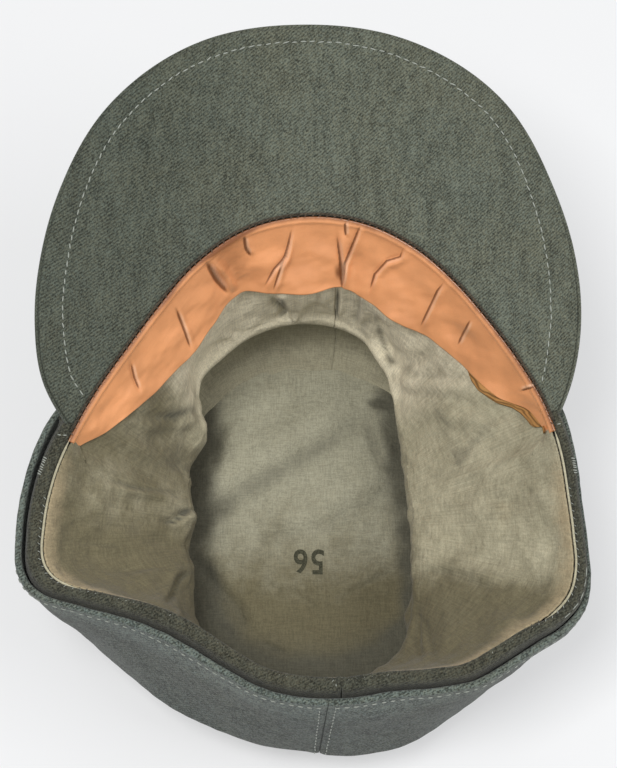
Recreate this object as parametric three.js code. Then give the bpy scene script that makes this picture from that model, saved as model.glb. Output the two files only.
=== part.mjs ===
// Cloth field cap with a long stiff peak, lying upside down on its crown with the head opening up.
//
// Frame: millimetres, +Z up. The origin is under the middle of the whole cap, on the surface that it
// lies on. The peak points towards -Y and the back seam towards +Y, and the wearer's left is at -X.
// Every wall is placed by its azimuth round the head's centre, in degrees from the middle of the peak
// towards +X, by its radius from that centre and by its height.

import * as THREE from "three";
import { LoftGeometry } from "three/addons/geometries/LoftGeometry.js";

// ---- Driving dimensions ----------------------------------------------------------------------

const HEAD_CENTRE = { x: -0.6, y: 27.4 }; // the head opening's centre, seen from above
const RIM_HEIGHT = 96.5; // the rim's plane over the head's centre
const RIM_SLOPE = 0.139; // the rim rises towards the peak, because the crown is taller in front
const RIM_ROLL = 6; // how far the rim's rolled cloth edge reaches down
const TOP_PANEL = { halfWidth: 63, halfLength: 79, squareness: 2.2, thickness: 1.6 };
const WALL = { thickness: 1.8, foot: 0.4, swell: 1.5, lip: 0.4, frontSeam: 0, backSeam: 188.2 };
const BARE = { full: 85, none: 90 }; // degrees from the front: the peak covers the wall's edge, or not
const CURTAIN = { thickness: 2.6, backSeam: 184.9, seamLean: -2, leanReach: 40 };
const LAP = { end: 9, rise: 3.1, run: 17 }; // the curtain's front ends lap, one lifted over the other
const PEAK = { rightEnd: 84, leftEnd: -82, slope: 0.4, camber: 1.6, board: 2.4, cloth: 0.9, wrap: 2.2 };
const LINING = { thickness: 1, frontSeam: -9, backSeam: 184, foot: 3.2, waist: 38, hang: 22 };
const SWEATBAND = { rightEnd: 88, leftEnd: -86, thickness: 1.2 };
// How the side lining goes under the sweatband: its edge below the rim behind the band and beside it,
// how far it clears the band's free edge, and over how many degrees it comes out and hangs free.
const TUCK = { behindBand: 5.4, atRim: 1.2, clear: 0.6, least: 8, from: 1, to: 9, hangs: 26 };
const BUTTON = { radius: 6, thickness: 2.6, shankRadius: 1.6, shankLength: 1.4, heights: [94, 76] };
const GAP = 0.35; // left between pieces that touch on the real cap
const SPACING = 7.5; // between the sections of a loft, measured along the rim

// The head opening. radius is the lining's sewn edge, hem the width of the rolled cloth edge outside
// it, out the turned-up curtain's outer face beyond it, and tuck the curtain's edge below the rim.
const RIM = [
  { deg: 0, radius: 85.3, hem: 2.2, out: 5.4, tuck: 3.2 },
  { deg: 15, radius: 83.0, hem: 2.2, out: 5.4, tuck: 3.2 },
  { deg: 30, radius: 78.3, hem: 2.2, out: 5.4, tuck: 3.2 },
  { deg: 45, radius: 74.0, hem: 2.2, out: 5.4, tuck: 3.2 },
  { deg: 58, radius: 73.3, hem: 2.2, out: 5.6, tuck: 3.2 },
  { deg: 70, radius: 75.8, hem: 3.2, out: 7.4, tuck: 3.2 },
  { deg: 85, radius: 82.2, hem: 7, out: 11.4, tuck: 3.2 },
  { deg: 97, radius: 89.7, hem: 7.4, out: 10.8, tuck: 2.6 },
  { deg: 106, radius: 95.6, hem: 6.8, out: 10.2, tuck: 2.5 },
  { deg: 113, radius: 99.8, hem: 6.4, out: 9.7, tuck: 2.5 },
  { deg: 118, radius: 98, hem: 6.2, out: 9.5, tuck: 2.5 },
  { deg: 125, radius: 88.2, hem: 5.6, out: 9.2, tuck: 2.5 },
  { deg: 133, radius: 79.2, hem: 5.6, out: 9, tuck: 2.5 },
  { deg: 141, radius: 74.6, hem: 5.2, out: 8.8, tuck: 2.5 },
  { deg: 150, radius: 73.4, hem: 5, out: 8.6, tuck: 2.5 },
  { deg: 160, radius: 75.4, hem: 4.6, out: 8.1, tuck: 2.5 },
  { deg: 170, radius: 78.7, hem: 4.5, out: 8, tuck: 2.5 },
  { deg: 180, radius: 80.3, hem: 4.9, out: 8.3, tuck: 2.5 },
  { deg: 190, radius: 81.7, hem: 4.9, out: 8.3, tuck: 2.5 },
  { deg: 200, radius: 83.8, hem: 4.6, out: 8, tuck: 2.6 },
  { deg: 210, radius: 89.6, hem: 4.5, out: 8, tuck: 3 },
  { deg: 216, radius: 94, hem: 4, out: 7.6, tuck: 3.3 },
  { deg: 223, radius: 96.4, hem: 4, out: 7.5, tuck: 3.6 },
  { deg: 230, radius: 99.5, hem: 4.1, out: 7.5, tuck: 4.1 },
  { deg: 236, radius: 103.9, hem: 4.5, out: 7.2, tuck: 5 },
  { deg: 241, radius: 105.4, hem: 4.8, out: 6.6, tuck: 5.7 },
  { deg: 246, radius: 103.4, hem: 4.6, out: 6, tuck: 6 },
  { deg: 252, radius: 98.8, hem: 4.4, out: 5.7, tuck: 6.1 },
  { deg: 260, radius: 93.9, hem: 4.4, out: 5.5, tuck: 6.2 },
  { deg: 269, radius: 90.4, hem: 4.8, out: 5.9, tuck: 6.2 },
  { deg: 280, radius: 86.6, hem: 4.4, out: 6.6, tuck: 5 },
  { deg: 292, radius: 82.6, hem: 2.4, out: 5.8, tuck: 3.4 },
  { deg: 305, radius: 80.5, hem: 2.2, out: 5.4, tuck: 3.2 },
  { deg: 318, radius: 81.2, hem: 2.2, out: 5.4, tuck: 3.2 },
  { deg: 332, radius: 83.6, hem: 2.2, out: 5.4, tuck: 3.2 },
  { deg: 346, radius: 85.4, hem: 2.2, out: 5.4, tuck: 3.2 },
];

// The turned-up curtain's free edge: its outer face's radius and how deep the curtain is.
const CURTAIN_EDGE = [
  { deg: 0, radius: 91.0, depth: 38 },
  { deg: 16, radius: 89.4, depth: 39 },
  { deg: 32, radius: 85.0, depth: 46 },
  { deg: 48, radius: 80.6, depth: 55 },
  { deg: 66, radius: 81.0, depth: 60 },
  { deg: 88, radius: 88.0, depth: 62 },
  { deg: 104, radius: 95.5, depth: 62 },
  { deg: 115, radius: 98.0, depth: 61 },
  { deg: 125, radius: 94.0, depth: 60 },
  { deg: 138, radius: 91.2, depth: 58 },
  { deg: 152, radius: 90.8, depth: 57 },
  { deg: 166, radius: 91.2, depth: 57 },
  { deg: 180, radius: 92.6, depth: 57 },
  { deg: 191, radius: 95.4, depth: 57 },
  { deg: 203, radius: 97.2, depth: 57 },
  { deg: 217, radius: 95.5, depth: 58 },
  { deg: 230, radius: 96.8, depth: 59 },
  { deg: 242, radius: 101.6, depth: 60 },
  { deg: 252, radius: 99.2, depth: 61 },
  { deg: 266, radius: 92.5, depth: 62 },
  { deg: 286, radius: 86.0, depth: 61 },
  { deg: 304, radius: 83.6, depth: 58 },
  { deg: 322, radius: 86.0, depth: 48 },
  { deg: 341, radius: 90.0, depth: 40 },
];

// The peak's outer edge. Its two halves differ a little, as the cap has been pushed out of true.
const PEAK_EDGE = [
  { deg: -82, radius: 91.2 },
  { deg: -76, radius: 97.6 },
  { deg: -66, radius: 107.2 },
  { deg: -55, radius: 117 },
  { deg: -45, radius: 126.1 },
  { deg: -30, radius: 141 },
  { deg: -15, radius: 148.5 },
  { deg: 0, radius: 149.8 },
  { deg: 15, radius: 147.9 },
  { deg: 30, radius: 138.8 },
  { deg: 45, radius: 124 },
  { deg: 55, radius: 114.3 },
  { deg: 66, radius: 104.6 },
  { deg: 76, radius: 95.6 },
  { deg: 84, radius: 85 },
];

// The loose lining's waist, where it hangs furthest into the cap.
const WAIST = [
  { deg: 0, radius: 74.0 },
  { deg: 17, radius: 71.5 },
  { deg: 29, radius: 67.0 },
  { deg: 38, radius: 62.0 },
  { deg: 47, radius: 54.5 },
  { deg: 57, radius: 48.0 },
  { deg: 68, radius: 46.0 },
  { deg: 80, radius: 44.2 },
  { deg: 92, radius: 44.8 },
  { deg: 104, radius: 45.2 },
  { deg: 118, radius: 48.0 },
  { deg: 131, radius: 54.0 },
  { deg: 144, radius: 63.0 },
  { deg: 160, radius: 70.0 },
  { deg: 180, radius: 72.0 },
  { deg: 200, radius: 72.0 },
  { deg: 214, radius: 69.0 },
  { deg: 223, radius: 60.0 },
  { deg: 234, radius: 49.5 },
  { deg: 246, radius: 44.0 },
  { deg: 258, radius: 40.6 },
  { deg: 271, radius: 39.2 },
  { deg: 286, radius: 39.8 },
  { deg: 300, radius: 43.4 },
  { deg: 312, radius: 48.6 },
  { deg: 321, radius: 55.0 },
  { deg: 330, radius: 63.0 },
  { deg: 344, radius: 71.5 },
];

// The leather sweatband: how far its free edge leans into the cap and hangs below the rim.
const SWEATBAND_EDGE = [
  { deg: -86, lean: 1.0, drop: 4.2 },
  { deg: -82, lean: 1.8, drop: 7.4 },
  { deg: -77, lean: 3.0, drop: 12.0 },
  { deg: -70, lean: 8.4, drop: 17.5 },
  { deg: -58, lean: 9.8, drop: 23.5 },
  { deg: -44, lean: 11.6, drop: 27.5 },
  { deg: -30, lean: 16.1, drop: 29.0 },
  { deg: -19, lean: 15.2, drop: 29.0 },
  { deg: -11, lean: 13.2, drop: 29.0 },
  { deg: 0, lean: 16.4, drop: 30.0 },
  { deg: 10, lean: 13.9, drop: 29.4 },
  { deg: 18, lean: 8.8, drop: 28.8 },
  { deg: 24, lean: 9.0, drop: 28.2 },
  { deg: 31, lean: 12.2, drop: 28.0 },
  { deg: 47, lean: 11.7, drop: 27.0 },
  { deg: 63, lean: 10.5, drop: 23.0 },
  { deg: 73, lean: 9.6, drop: 18.4 },
  { deg: 81, lean: 7.0, drop: 13.8 },
  { deg: 85, lean: 3.4, drop: 10.0 },
  { deg: 88, lean: 1.4, drop: 6.0 },
];

// Folds that run down the side lining: azimuth, half width in degrees, and how far each stands in.
const SIDE_FOLDS = [
  { deg: 40, width: 8, depth: -3 },
  { deg: 54, width: 8, depth: 2.5 },
  { deg: 74, width: 8, depth: -2.5 },
  { deg: 97, width: 8, depth: 2.5 },
  { deg: 113, width: 8, depth: -2.5 },
  { deg: 136, width: 9, depth: -2.5 },
  { deg: 218, width: 9, depth: 2.5 },
];

// Soft folds across the top lining: each one's middle, direction, half length, half width and height.
const TOP_FOLDS = [
  { x: -2, y: -10, deg: 35, length: 40, width: 7, height: 2.4 },
  { x: -20, y: 6, deg: 28, length: 30, width: 6, height: 2.0 },
  { x: 12, y: 40, deg: 150, length: 30, width: 8, height: 1.8 },
  { x: -8, y: -42, deg: 80, length: 18, width: 9, height: 1.6 },
];

// ---- Shape functions -------------------------------------------------------------------------

const radians = THREE.MathUtils.degToRad;
const mix = THREE.MathUtils.lerp;
const smoothstep = THREE.MathUtils.smoothstep;
const shares = (count) => Array.from({ length: count + 1 }, (_, i) => i / count);
const turn = (deg) => ((deg % 360) + 360) % 360;
const fromFront = (deg) => turn(deg + 180) - 180; // an azimuth between -180 and 180

// A value between the rows b and c, on the cubic curve that leaves for them from a and goes on to d.
function cubic(a, b, c, d, deg) {
  const span = c.deg - b.deg;
  const t = (deg - b.deg) / span;
  const leave = ((c.value - a.value) / (c.deg - a.deg)) * span;
  const arrive = ((d.value - b.value) / (d.deg - b.deg)) * span;
  return mix(b.value, c.value, t * t * (3 - 2 * t)) + t * (1 - t) * (leave * (1 - t) - arrive * t);
}

// A column of a table that goes all round the head, on a smooth curve through its rows.
function round(table, key, deg) {
  const row = (i) => {
    const lap = Math.floor(i / table.length);
    const found = table[i - lap * table.length];
    return { deg: found.deg + lap * 360, value: found[key] };
  };
  const want = turn(deg);
  const i = table.findLastIndex((found) => found.deg <= want);
  return cubic(row(i - 1), row(i), row(i + 1), row(i + 2), want);
}

// A column of a table that runs from one end to another, held at its end rows beyond them.
function along(table, key, deg) {
  const last = table.length - 1;
  const row = (i) => {
    const found = table[THREE.MathUtils.clamp(i, 0, last)];
    return { deg: found.deg, value: found[key] };
  };
  const want = THREE.MathUtils.clamp(deg, table[0].deg, table[last].deg);
  const i = Math.min(table.findLastIndex((found) => found.deg <= want), last - 1);
  return cubic(row(i - 1), row(i), row(i + 1), row(i + 2), want);
}

const pointAt = (deg, radius, height) =>
  new THREE.Vector3(
    HEAD_CENTRE.x + radius * Math.sin(radians(deg)),
    HEAD_CENTRE.y - radius * Math.cos(radians(deg)),
    height,
  );

const rimRadius = (deg) => round(RIM, "radius", deg);
const rimHeight = (deg) => RIM_HEIGHT + RIM_SLOPE * rimRadius(deg) * Math.cos(radians(deg));

// 1 where the peak is sewn to the rim, 0 where the rim has its own rolled edge.
const bareness = (deg) => 1 - smoothstep(Math.abs(fromFront(deg)), BARE.full, BARE.none);

// The top panel's outline: a full oval, a little squarer than an ellipse.
function topRadius(deg) {
  const { halfWidth, halfLength, squareness } = TOP_PANEL;
  const across = Math.abs(Math.sin(radians(deg)) / halfWidth) ** squareness;
  const lengthwise = Math.abs(Math.cos(radians(deg)) / halfLength) ** squareness;
  return (across + lengthwise) ** (-1 / squareness);
}

// The crown wall's top edge: under the rolled edge, or under the peak's board where it is bare.
const peakDepth = PEAK.board + PEAK.cloth + 2 * GAP;
const wallTop = (deg) => rimHeight(deg) - mix(RIM_ROLL, peakDepth + WALL.lip, bareness(deg));

// The crown wall's outer face: it swells from the top panel's outline to the neck inside the curtain.
const neckRadius = (deg) => rimRadius(deg) + round(RIM, "out", deg) - CURTAIN.thickness - 2 * GAP;
function wallRadius(deg, height) {
  const share = THREE.MathUtils.clamp((height - WALL.foot) / (wallTop(deg) - WALL.foot), 0, 1);
  return mix(topRadius(deg) + WALL.thickness, neckRadius(deg), 1 - (1 - share) ** WALL.swell);
}

// ---- Lofts -----------------------------------------------------------------------------------

// The azimuths of the sections, which all walls share: evenly spaced along the rim.
function stationsRoundRim() {
  const found = [];
  const stride = 0.5;
  let walked = 0;
  for (let deg = 0; deg < 360; deg += stride) {
    if (walked >= SPACING) {
      found.push(deg);
      walked -= SPACING;
    }
    const here = pointAt(deg, rimRadius(deg), 0);
    walked += here.distanceTo(pointAt(deg + stride, rimRadius(deg + stride), 0));
  }
  return found;
}
const STATIONS = stationsRoundRim();

// The azimuths of one panel's sections: its two ends and the stations well between them.
function azimuths(from, to) {
  const clear = 1.5;
  const all = [-360, 0, 360].flatMap((lap) => STATIONS.map((deg) => deg + lap));
  return [from, ...all.filter((deg) => deg > from + clear && deg < to - clear), to];
}

// Puts one more azimuth halfway between each two, where a panel's far edge needs a finer curve.
const halved = (list) => list.flatMap((deg, i) => (i ? [(list[i - 1] + deg) / 2, deg] : [deg]));

// Skins closed sections, one for each azimuth in turn, and caps both ends.
const skin = (list, section) =>
  new LoftGeometry(list.map(section), { closed: true, capStart: true, capEnd: true });

// A sheet's closed section: its outer face's line, from the top down, and its inner face's line.
function sheetSection(line, deg, thickness) {
  const outward = pointAt(deg, 1, 0).sub(pointAt(deg, 0, 0));
  const inner = line.map((point, i) => {
    const heading = line[Math.min(i + 1, line.length - 1)].clone().sub(line[Math.max(i - 1, 0)]);
    const run = heading.dot(outward);
    const length = Math.hypot(run, heading.z);
    const inward = outward.clone().multiplyScalar(heading.z / length).setZ(-run / length);
    return point.clone().addScaledVector(inward, thickness);
  });
  return [...line, ...inner.reverse()];
}

// ---- Crown -----------------------------------------------------------------------------------

// One side panel of the crown, from the top panel's seam up to its own rolled edge at the rim.
function crownSection(deg) {
  const reach = 0.94; // the inner face's share of the wall, below the roll
  const rows = shares(6);
  const face = (share, inset) => {
    const height = mix(WALL.foot, wallTop(deg), share);
    return pointAt(deg, wallRadius(deg, height) - inset, height);
  };
  const outer = rows.map((share) => face(share, 0));
  const inner = rows.map((share) => face(share * reach, WALL.thickness)).reverse();
  const rim = rimRadius(deg) + GAP;
  const hem = round(RIM, "hem", deg);
  const top = rimHeight(deg);
  const roll = [
    { radius: rim + hem, height: top - RIM_ROLL * 0.5 },
    { radius: rim + hem * 0.8, height: top - 0.7 },
    { radius: rim + hem * 0.45, height: top },
    { radius: rim, height: top - 1.6 },
    { radius: rim, height: top - RIM_ROLL },
  ];
  const bare = bareness(deg);
  const lip = wallTop(deg) + WALL.lip;
  const edge = roll.map(({ radius, height }, i) => {
    const plain = neckRadius(deg) - (WALL.thickness * i) / (roll.length - 1);
    return pointAt(deg, mix(radius, plain, bare), mix(height, lip, bare));
  });
  return [...outer, ...edge, ...inner].reverse();
}

// The flat top panel, cut to its outline, which the cap lies on.
function crownTop() {
  const outline = STATIONS.map((deg) => pointAt(deg, topRadius(deg) - GAP, 0));
  return new THREE.ExtrudeGeometry(new THREE.Shape(outline), {
    depth: TOP_PANEL.thickness,
    bevelEnabled: false,
  });
}

// ---- Curtain ---------------------------------------------------------------------------------

// The curtain's outer face at a share of its depth. The lapped half's end is lifted over the other.
function curtainFace(deg, share, lapped) {
  const lift = lapped ? LAP.rise * smoothstep(fromFront(deg), -LAP.end - LAP.run, -LAP.end) : 0;
  const sewn = rimRadius(deg) + round(RIM, "out", deg);
  const depth = round(CURTAIN_EDGE, "depth", deg);
  const height = rimHeight(deg) - round(RIM, "tuck", deg) - share * depth;
  const hung = mix(sewn, round(CURTAIN_EDGE, "radius", deg), share ** 1.3);
  const clear = wallRadius(deg, height) + CURTAIN.thickness + 2 * GAP;
  return { radius: Math.max(hung, clear) + lift, height };
}

// One half of the turned-up curtain. Its back seam leans, which carries the cloth beside it along.
function curtainSection(deg, lapped) {
  const beside = 1 - smoothstep(Math.abs(turn(deg) - CURTAIN.backSeam), 0, CURTAIN.leanReach);
  const line = shares(4).map((share) => {
    const leant = deg + CURTAIN.seamLean * beside * share;
    const { radius, height } = curtainFace(leant, share, lapped);
    return pointAt(leant, radius, height);
  });
  return sheetSection(line, deg, CURTAIN.thickness);
}

// A button on its shank, sewn to the curtain's lapped end under the middle of the peak.
function button(height) {
  const { radius, thickness, shankRadius, shankLength } = BUTTON;
  const profile = [
    [0, 0],
    [shankRadius, 0],
    [shankRadius, shankLength],
    [radius * 0.92, shankLength],
    [radius, shankLength + thickness * 0.35],
    [radius * 0.86, shankLength + thickness * 0.75],
    [radius * 0.5, shankLength + thickness * 0.95],
    [0, shankLength + thickness],
  ].map((place) => new THREE.Vector2(...place));
  const share = (curtainFace(0, 0, true).height - height) / round(CURTAIN_EDGE, "depth", 0);
  const seat = pointAt(0, curtainFace(0, share, true).radius + GAP, height);
  return new THREE.LatheGeometry(profile, 16).rotateX(Math.PI).translate(seat.x, seat.y, seat.z);
}

// ---- Peak ------------------------------------------------------------------------------------

const peakWidth = (deg) => along(PEAK_EDGE, "radius", deg) - rimRadius(deg) - GAP;

// A point over the board's slightly hollow upper face, at a distance out from the rim.
function peakPoint(deg, out, above) {
  const share = THREE.MathUtils.clamp(out / peakWidth(deg), 0, 1);
  const hollow = 4 * PEAK.camber * share * (1 - share) * smoothstep(peakWidth(deg), 0, 40);
  const height = rimHeight(deg) - PEAK.cloth - GAP + PEAK.slope * out - hollow + above;
  return pointAt(deg, rimRadius(deg) + GAP + out, height);
}

// The stiff board in its upper cloth, with a rounded outer edge.
function peakSection(deg) {
  const rounding = 0.9;
  const width = peakWidth(deg);
  const upper = shares(2).map((share) => peakPoint(deg, share * (width - rounding), 0));
  const lower = shares(2).map((share) => peakPoint(deg, share * (width - rounding), -PEAK.board));
  const edge = [0.3, 0.7].map((share) => peakPoint(deg, width, -PEAK.board * share));
  return [...upper, ...edge, ...lower.reverse()];
}

// The cloth under the peak, set in from the edge that the upper cloth wraps round.
function peakClothSection(deg) {
  const width = Math.max(peakWidth(deg) - PEAK.wrap, 0.8);
  const face = shares(2).map((share) => peakPoint(deg, share * width, GAP + PEAK.cloth));
  const back = shares(2).map((share) => peakPoint(deg, share * width, GAP));
  return [...face, ...back.reverse()];
}

// ---- Lining and sweatband --------------------------------------------------------------------

// The sweatband's outer face, at a share of the way from its seam at the rim to its free edge.
function sweatbandFace(deg, share) {
  const lean = along(SWEATBAND_EDGE, "lean", deg) * share ** 1.25;
  const drop = along(SWEATBAND_EDGE, "drop", deg) * share;
  return { radius: rimRadius(deg) - GAP - lean, height: rimHeight(deg) - 0.6 - drop };
}

function sweatbandSection(deg) {
  const line = shares(3).map((share) => {
    const { radius, height } = sweatbandFace(deg, share);
    return pointAt(deg, radius, height);
  });
  return sheetSection(line, deg, SWEATBAND.thickness);
}

// How far the folds of the side lining stand in at an azimuth.
const foldDepth = (deg) =>
  SIDE_FOLDS.reduce((sum, fold) => {
    const away = fromFront(deg - fold.deg) / fold.width;
    return sum + fold.depth * Math.exp(-away * away);
  }, 0);

// The side lining's upper stretch: behind the sweatband in front, and elsewhere hanging inwards.
function liningUpper(deg, waist) {
  const away = fromFront(deg);
  const beyond = Math.max(away - SWEATBAND.rightEnd, SWEATBAND.leftEnd - away);
  const tucked = 1 - smoothstep(beyond, TUCK.from, TUCK.to);
  const rim = rimRadius(deg) - GAP;
  const highest = rimHeight(deg) - mix(TUCK.atRim, TUCK.behindBand, tucked);
  const drop = Math.max(along(SWEATBAND_EDGE, "drop", away) + TUCK.clear, TUCK.least);
  const lowest = rimHeight(deg) - mix(drop, LINING.hang, smoothstep(beyond, TUCK.from, TUCK.hangs));
  return shares(3).map((share) => {
    const height = mix(highest, lowest, share);
    const way = (rimHeight(deg) - height) / (rimHeight(deg) - LINING.waist);
    const free = mix(rim, waist, (way + smoothstep(way, 0, 1)) / 2);
    const behind = sweatbandFace(away, share).radius + LINING.thickness + 2 * GAP;
    const limit = rim + 1.5 * GAP * bareness(deg);
    return pointAt(deg, mix(free, Math.min(behind, limit), tucked), height);
  });
}

// The side lining hangs loose: in to its waist, then back out to its seam with the top lining.
function liningSection(deg) {
  const foot = topRadius(deg) - LINING.thickness - GAP;
  const waist = Math.min(round(WAIST, "radius", deg) - foldDepth(deg), foot - 2);
  const upper = liningUpper(deg, waist);
  const knots = [
    upper.at(-1),
    pointAt(deg, waist + 3, LINING.waist + 8),
    pointAt(deg, waist, LINING.waist - 4),
    pointAt(deg, mix(waist, foot, 0.62), LINING.waist * 0.32),
    pointAt(deg, foot, LINING.foot),
  ];
  const lower = new THREE.CatmullRomCurve3(knots, false, "centripetal").getPoints(7).slice(1);
  const centre = pointAt(deg, 0, 0);
  const line = [...upper, ...lower].map((point) => {
    const radius = Math.hypot(point.x - centre.x, point.y - centre.y);
    const clear = wallRadius(deg, point.z) - WALL.thickness - GAP;
    return pointAt(deg, Math.min(radius, clear), point.z);
  });
  return sheetSection(line, deg, LINING.thickness);
}

// How high the folds of the top lining stand at a place measured from the head's centre.
const topFoldHeight = (x, y) =>
  TOP_FOLDS.reduce((sum, fold) => {
    const [dx, dy] = [x - fold.x, y - fold.y];
    const [c, s] = [Math.cos(radians(fold.deg)), Math.sin(radians(fold.deg))];
    const way = (dx * c + dy * s) / fold.length;
    const off = (dy * c - dx * s) / fold.width;
    return sum + fold.height * Math.exp(-way * way - off * off);
  }, 0);

// The top lining: a thin disc cut inside the side lining's foot, raised in soft folds.
function liningTop() {
  const inset = 2.6;
  const low = TOP_PANEL.thickness + GAP;
  const rings = [0, 0.3, 0.55, 0.8, 1];
  const profile = [
    ...rings.map((share) => new THREE.Vector2(share, 0)),
    ...rings.map((share) => new THREE.Vector2(share, LINING.thickness)).reverse(),
  ];
  const geometry = new THREE.LatheGeometry(profile, 48);
  const place = geometry.getAttribute("position");
  for (let i = 0; i < place.count; i += 1) {
    const share = Math.hypot(place.getX(i), place.getZ(i));
    const deg = THREE.MathUtils.radToDeg(Math.atan2(place.getX(i), place.getZ(i)));
    const radius = share * (topRadius(deg) - inset);
    const folds = topFoldHeight(radius * Math.sin(radians(deg)), -radius * Math.cos(radians(deg)));
    const fade = 1 - smoothstep(share, 0.6, 1);
    const { x, y, z } = pointAt(deg, radius, low + place.getY(i) + folds * fade);
    place.setXYZ(i, x, y, z);
  }
  return geometry;
}

// ---- Assembly --------------------------------------------------------------------------------

const WOOL = { color: 0x5b6058, roughness: 0.95, metalness: 0 };
const COTTON = { color: 0x8a836b, roughness: 0.9, metalness: 0 };
const LEATHER = { color: 0xd49465, roughness: 0.5, metalness: 0 };
const PAINTED_METAL = { color: 0x4c524a, roughness: 0.55, metalness: 0.4 };

const cap = new THREE.Group();

function add(name, geometry, finish) {
  const mesh = new THREE.Mesh(geometry, new THREE.MeshStandardMaterial(finish));
  mesh.name = name;
  cap.add(mesh);
}

// Two panels that stop a little short of touching at the back seam, and lap or meet in front.
function addPanels(name, frontSeam, backSeam, section, finish, lap = 0) {
  const short = 0.15;
  const right = azimuths(frontSeam + short - lap, backSeam - short);
  const left = azimuths(backSeam + short - 360, frontSeam - short + lap);
  add(`${name}_right`, skin(right, (deg) => section(deg, false)), finish);
  add(`${name}_left`, skin(left, (deg) => section(deg, true)), finish);
}

const peakStations = halved(azimuths(PEAK.leftEnd, PEAK.rightEnd));
const sweatbandStations = azimuths(SWEATBAND.leftEnd, SWEATBAND.rightEnd);

add("crown_top", crownTop(), WOOL);
addPanels("crown_side", WALL.frontSeam, WALL.backSeam, crownSection, WOOL);
addPanels("curtain", 0, CURTAIN.backSeam, curtainSection, WOOL, LAP.end);
add("peak_board", skin(peakStations, peakSection), WOOL);
add("peak_under_cloth", skin(peakStations, peakClothSection), WOOL);
add("sweatband", skin(sweatbandStations, sweatbandSection), LEATHER);
addPanels("lining_side", LINING.frontSeam, LINING.backSeam, liningSection, COTTON);
add("lining_top", liningTop(), COTTON);
BUTTON.heights.forEach((height, i) => add(`button_${i + 1}`, button(height), PAINTED_METAL));

export default cap;
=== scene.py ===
"""Field cap lying on its crown: the finish of every piece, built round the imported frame.

Places are worked out in millimetres in the frame's own axes, +Z up, with the peak towards -Y and the
wearer's left at -X, and become metres when a mesh is made. A wall is placed by its azimuth round the
head's centre, in degrees from the middle of the peak towards +X, its radius and its height.
"""

import math

import bmesh
import bpy
import numpy as np
from mathutils import Matrix, Vector


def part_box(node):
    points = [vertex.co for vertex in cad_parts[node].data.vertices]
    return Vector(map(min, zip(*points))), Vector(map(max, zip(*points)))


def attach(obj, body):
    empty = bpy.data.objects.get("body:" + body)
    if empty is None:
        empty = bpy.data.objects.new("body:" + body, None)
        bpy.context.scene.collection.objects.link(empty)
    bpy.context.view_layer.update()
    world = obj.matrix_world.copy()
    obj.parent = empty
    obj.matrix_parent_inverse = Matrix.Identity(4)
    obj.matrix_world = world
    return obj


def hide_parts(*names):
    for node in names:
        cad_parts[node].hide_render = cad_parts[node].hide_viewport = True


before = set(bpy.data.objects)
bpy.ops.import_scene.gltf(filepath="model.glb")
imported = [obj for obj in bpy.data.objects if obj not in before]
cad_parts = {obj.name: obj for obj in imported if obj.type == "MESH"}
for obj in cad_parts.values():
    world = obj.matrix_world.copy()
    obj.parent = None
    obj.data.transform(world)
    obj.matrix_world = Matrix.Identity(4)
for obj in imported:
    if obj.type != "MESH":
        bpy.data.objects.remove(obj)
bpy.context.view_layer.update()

bl_info = {
    "name": "Field cap",
    "version": (1, 0, 0),
    "blender": (4, 5, 0),
    "location": "3D View > Sidebar > Cap",
    "description": "Builds the cloth, leather, lining and stitches of a peaked field cap",
    "category": "Add Mesh",
}

MM = 0.001

# ---- Shape of the cap, in millimetres and degrees ----------------------------------------------

# The head's centre, about how far the rim is from it, the rim's height there, and how steeply the
# rim climbs towards the front.
HEAD_X, HEAD_Y, HEAD_RADIUS = -0.6, 27.4, 92
RIM_HEIGHT, RIM_SLOPE = 96.5, 0.139

# The crown: half its top's width and length, and how square that oval is. Its wall's thickness and
# foot, how soon it swells out, how far below the rim it rolls over, and how far its lip rounds up.
TOP_WIDTH, TOP_LENGTH, TOP_SQUARENESS = 63.0, 79.0, 2.2
WALL, WALL_FOOT, WALL_SWELL = 1.8, 0.4, 1.5
ROLL_DEPTH, WALL_LIP = 6.0, 0.4

# The azimuths of the seams, and how far each panel stops short of them.
CROWN_BACK_SEAM, CURTAIN_BACK_SEAM = 188.2, 184.9
LINING_BACK_SEAM, LINING_FRONT_SEAM = 184.0, -9.0
SEAM_EDGE = 0.07

# The curtain: its thickness, how far its back seam leans and how far round the cloth leans with it,
# and its radius there. Where the halves' front ends stop, and how far out and over how many degrees
# the left one is lifted over the right one.
CURTAIN, SEAM_LEAN, LEAN_REACH, BACK_RADIUS = 2.6, -2.0, 40.0, 90
LAP_END, LAP_RISE, LAP_RUN = 9.0, 3.1, 17.0

# The peak: its ends, how steeply it climbs and how hollow it is, the board's thickness, the under
# cloth's, and how far the upper cloth is wrapped over the board's edge.
PEAK_LEFT, PEAK_RIGHT, PEAK_SLOPE, PEAK_CAMBER = -82.0, 84.0, 0.4, 1.6
BOARD, PEAK_CLOTH, PEAK_WRAP = 2.4, 0.9, 1.3

# The sweatband's ends, and the stretch where its raw edge shows, with that edge's width.
BAND_LEFT, BAND_RIGHT = -86.0, 88.0
RAW_START, RAW_END, RAW_WIDTH = -54, -85.5, 2.1

# The lining: its thickness, its waist's height, how far it runs from the rim to its foot, how far
# inside the crown's top the top lining ends, and between which degrees from the front its roll there
# dies out.
LINING, WAIST_HEIGHT, LINING_LENGTH, TOP_LINING_INSET = 1.0, 38.0, 118, 2.6
ROLL_STARTS_TO_FADE, ROLL_IS_GONE = 34, 56

# The most that grime and painted shade may add up to.
MOST_DIRT_AND_SHADE = 1.3

# From one small stitch of the lining's edge to the next.
HEM_PITCH = 2.7

# What stays between neighbours, and between the crown's cloth and the floor.
GAP, FLOOR_GAP = 0.35, 0.15

# How far a place seems to move for each millimetre of its height, seen from 20 degrees off the
# vertical.
LOOK = 0.364

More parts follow.
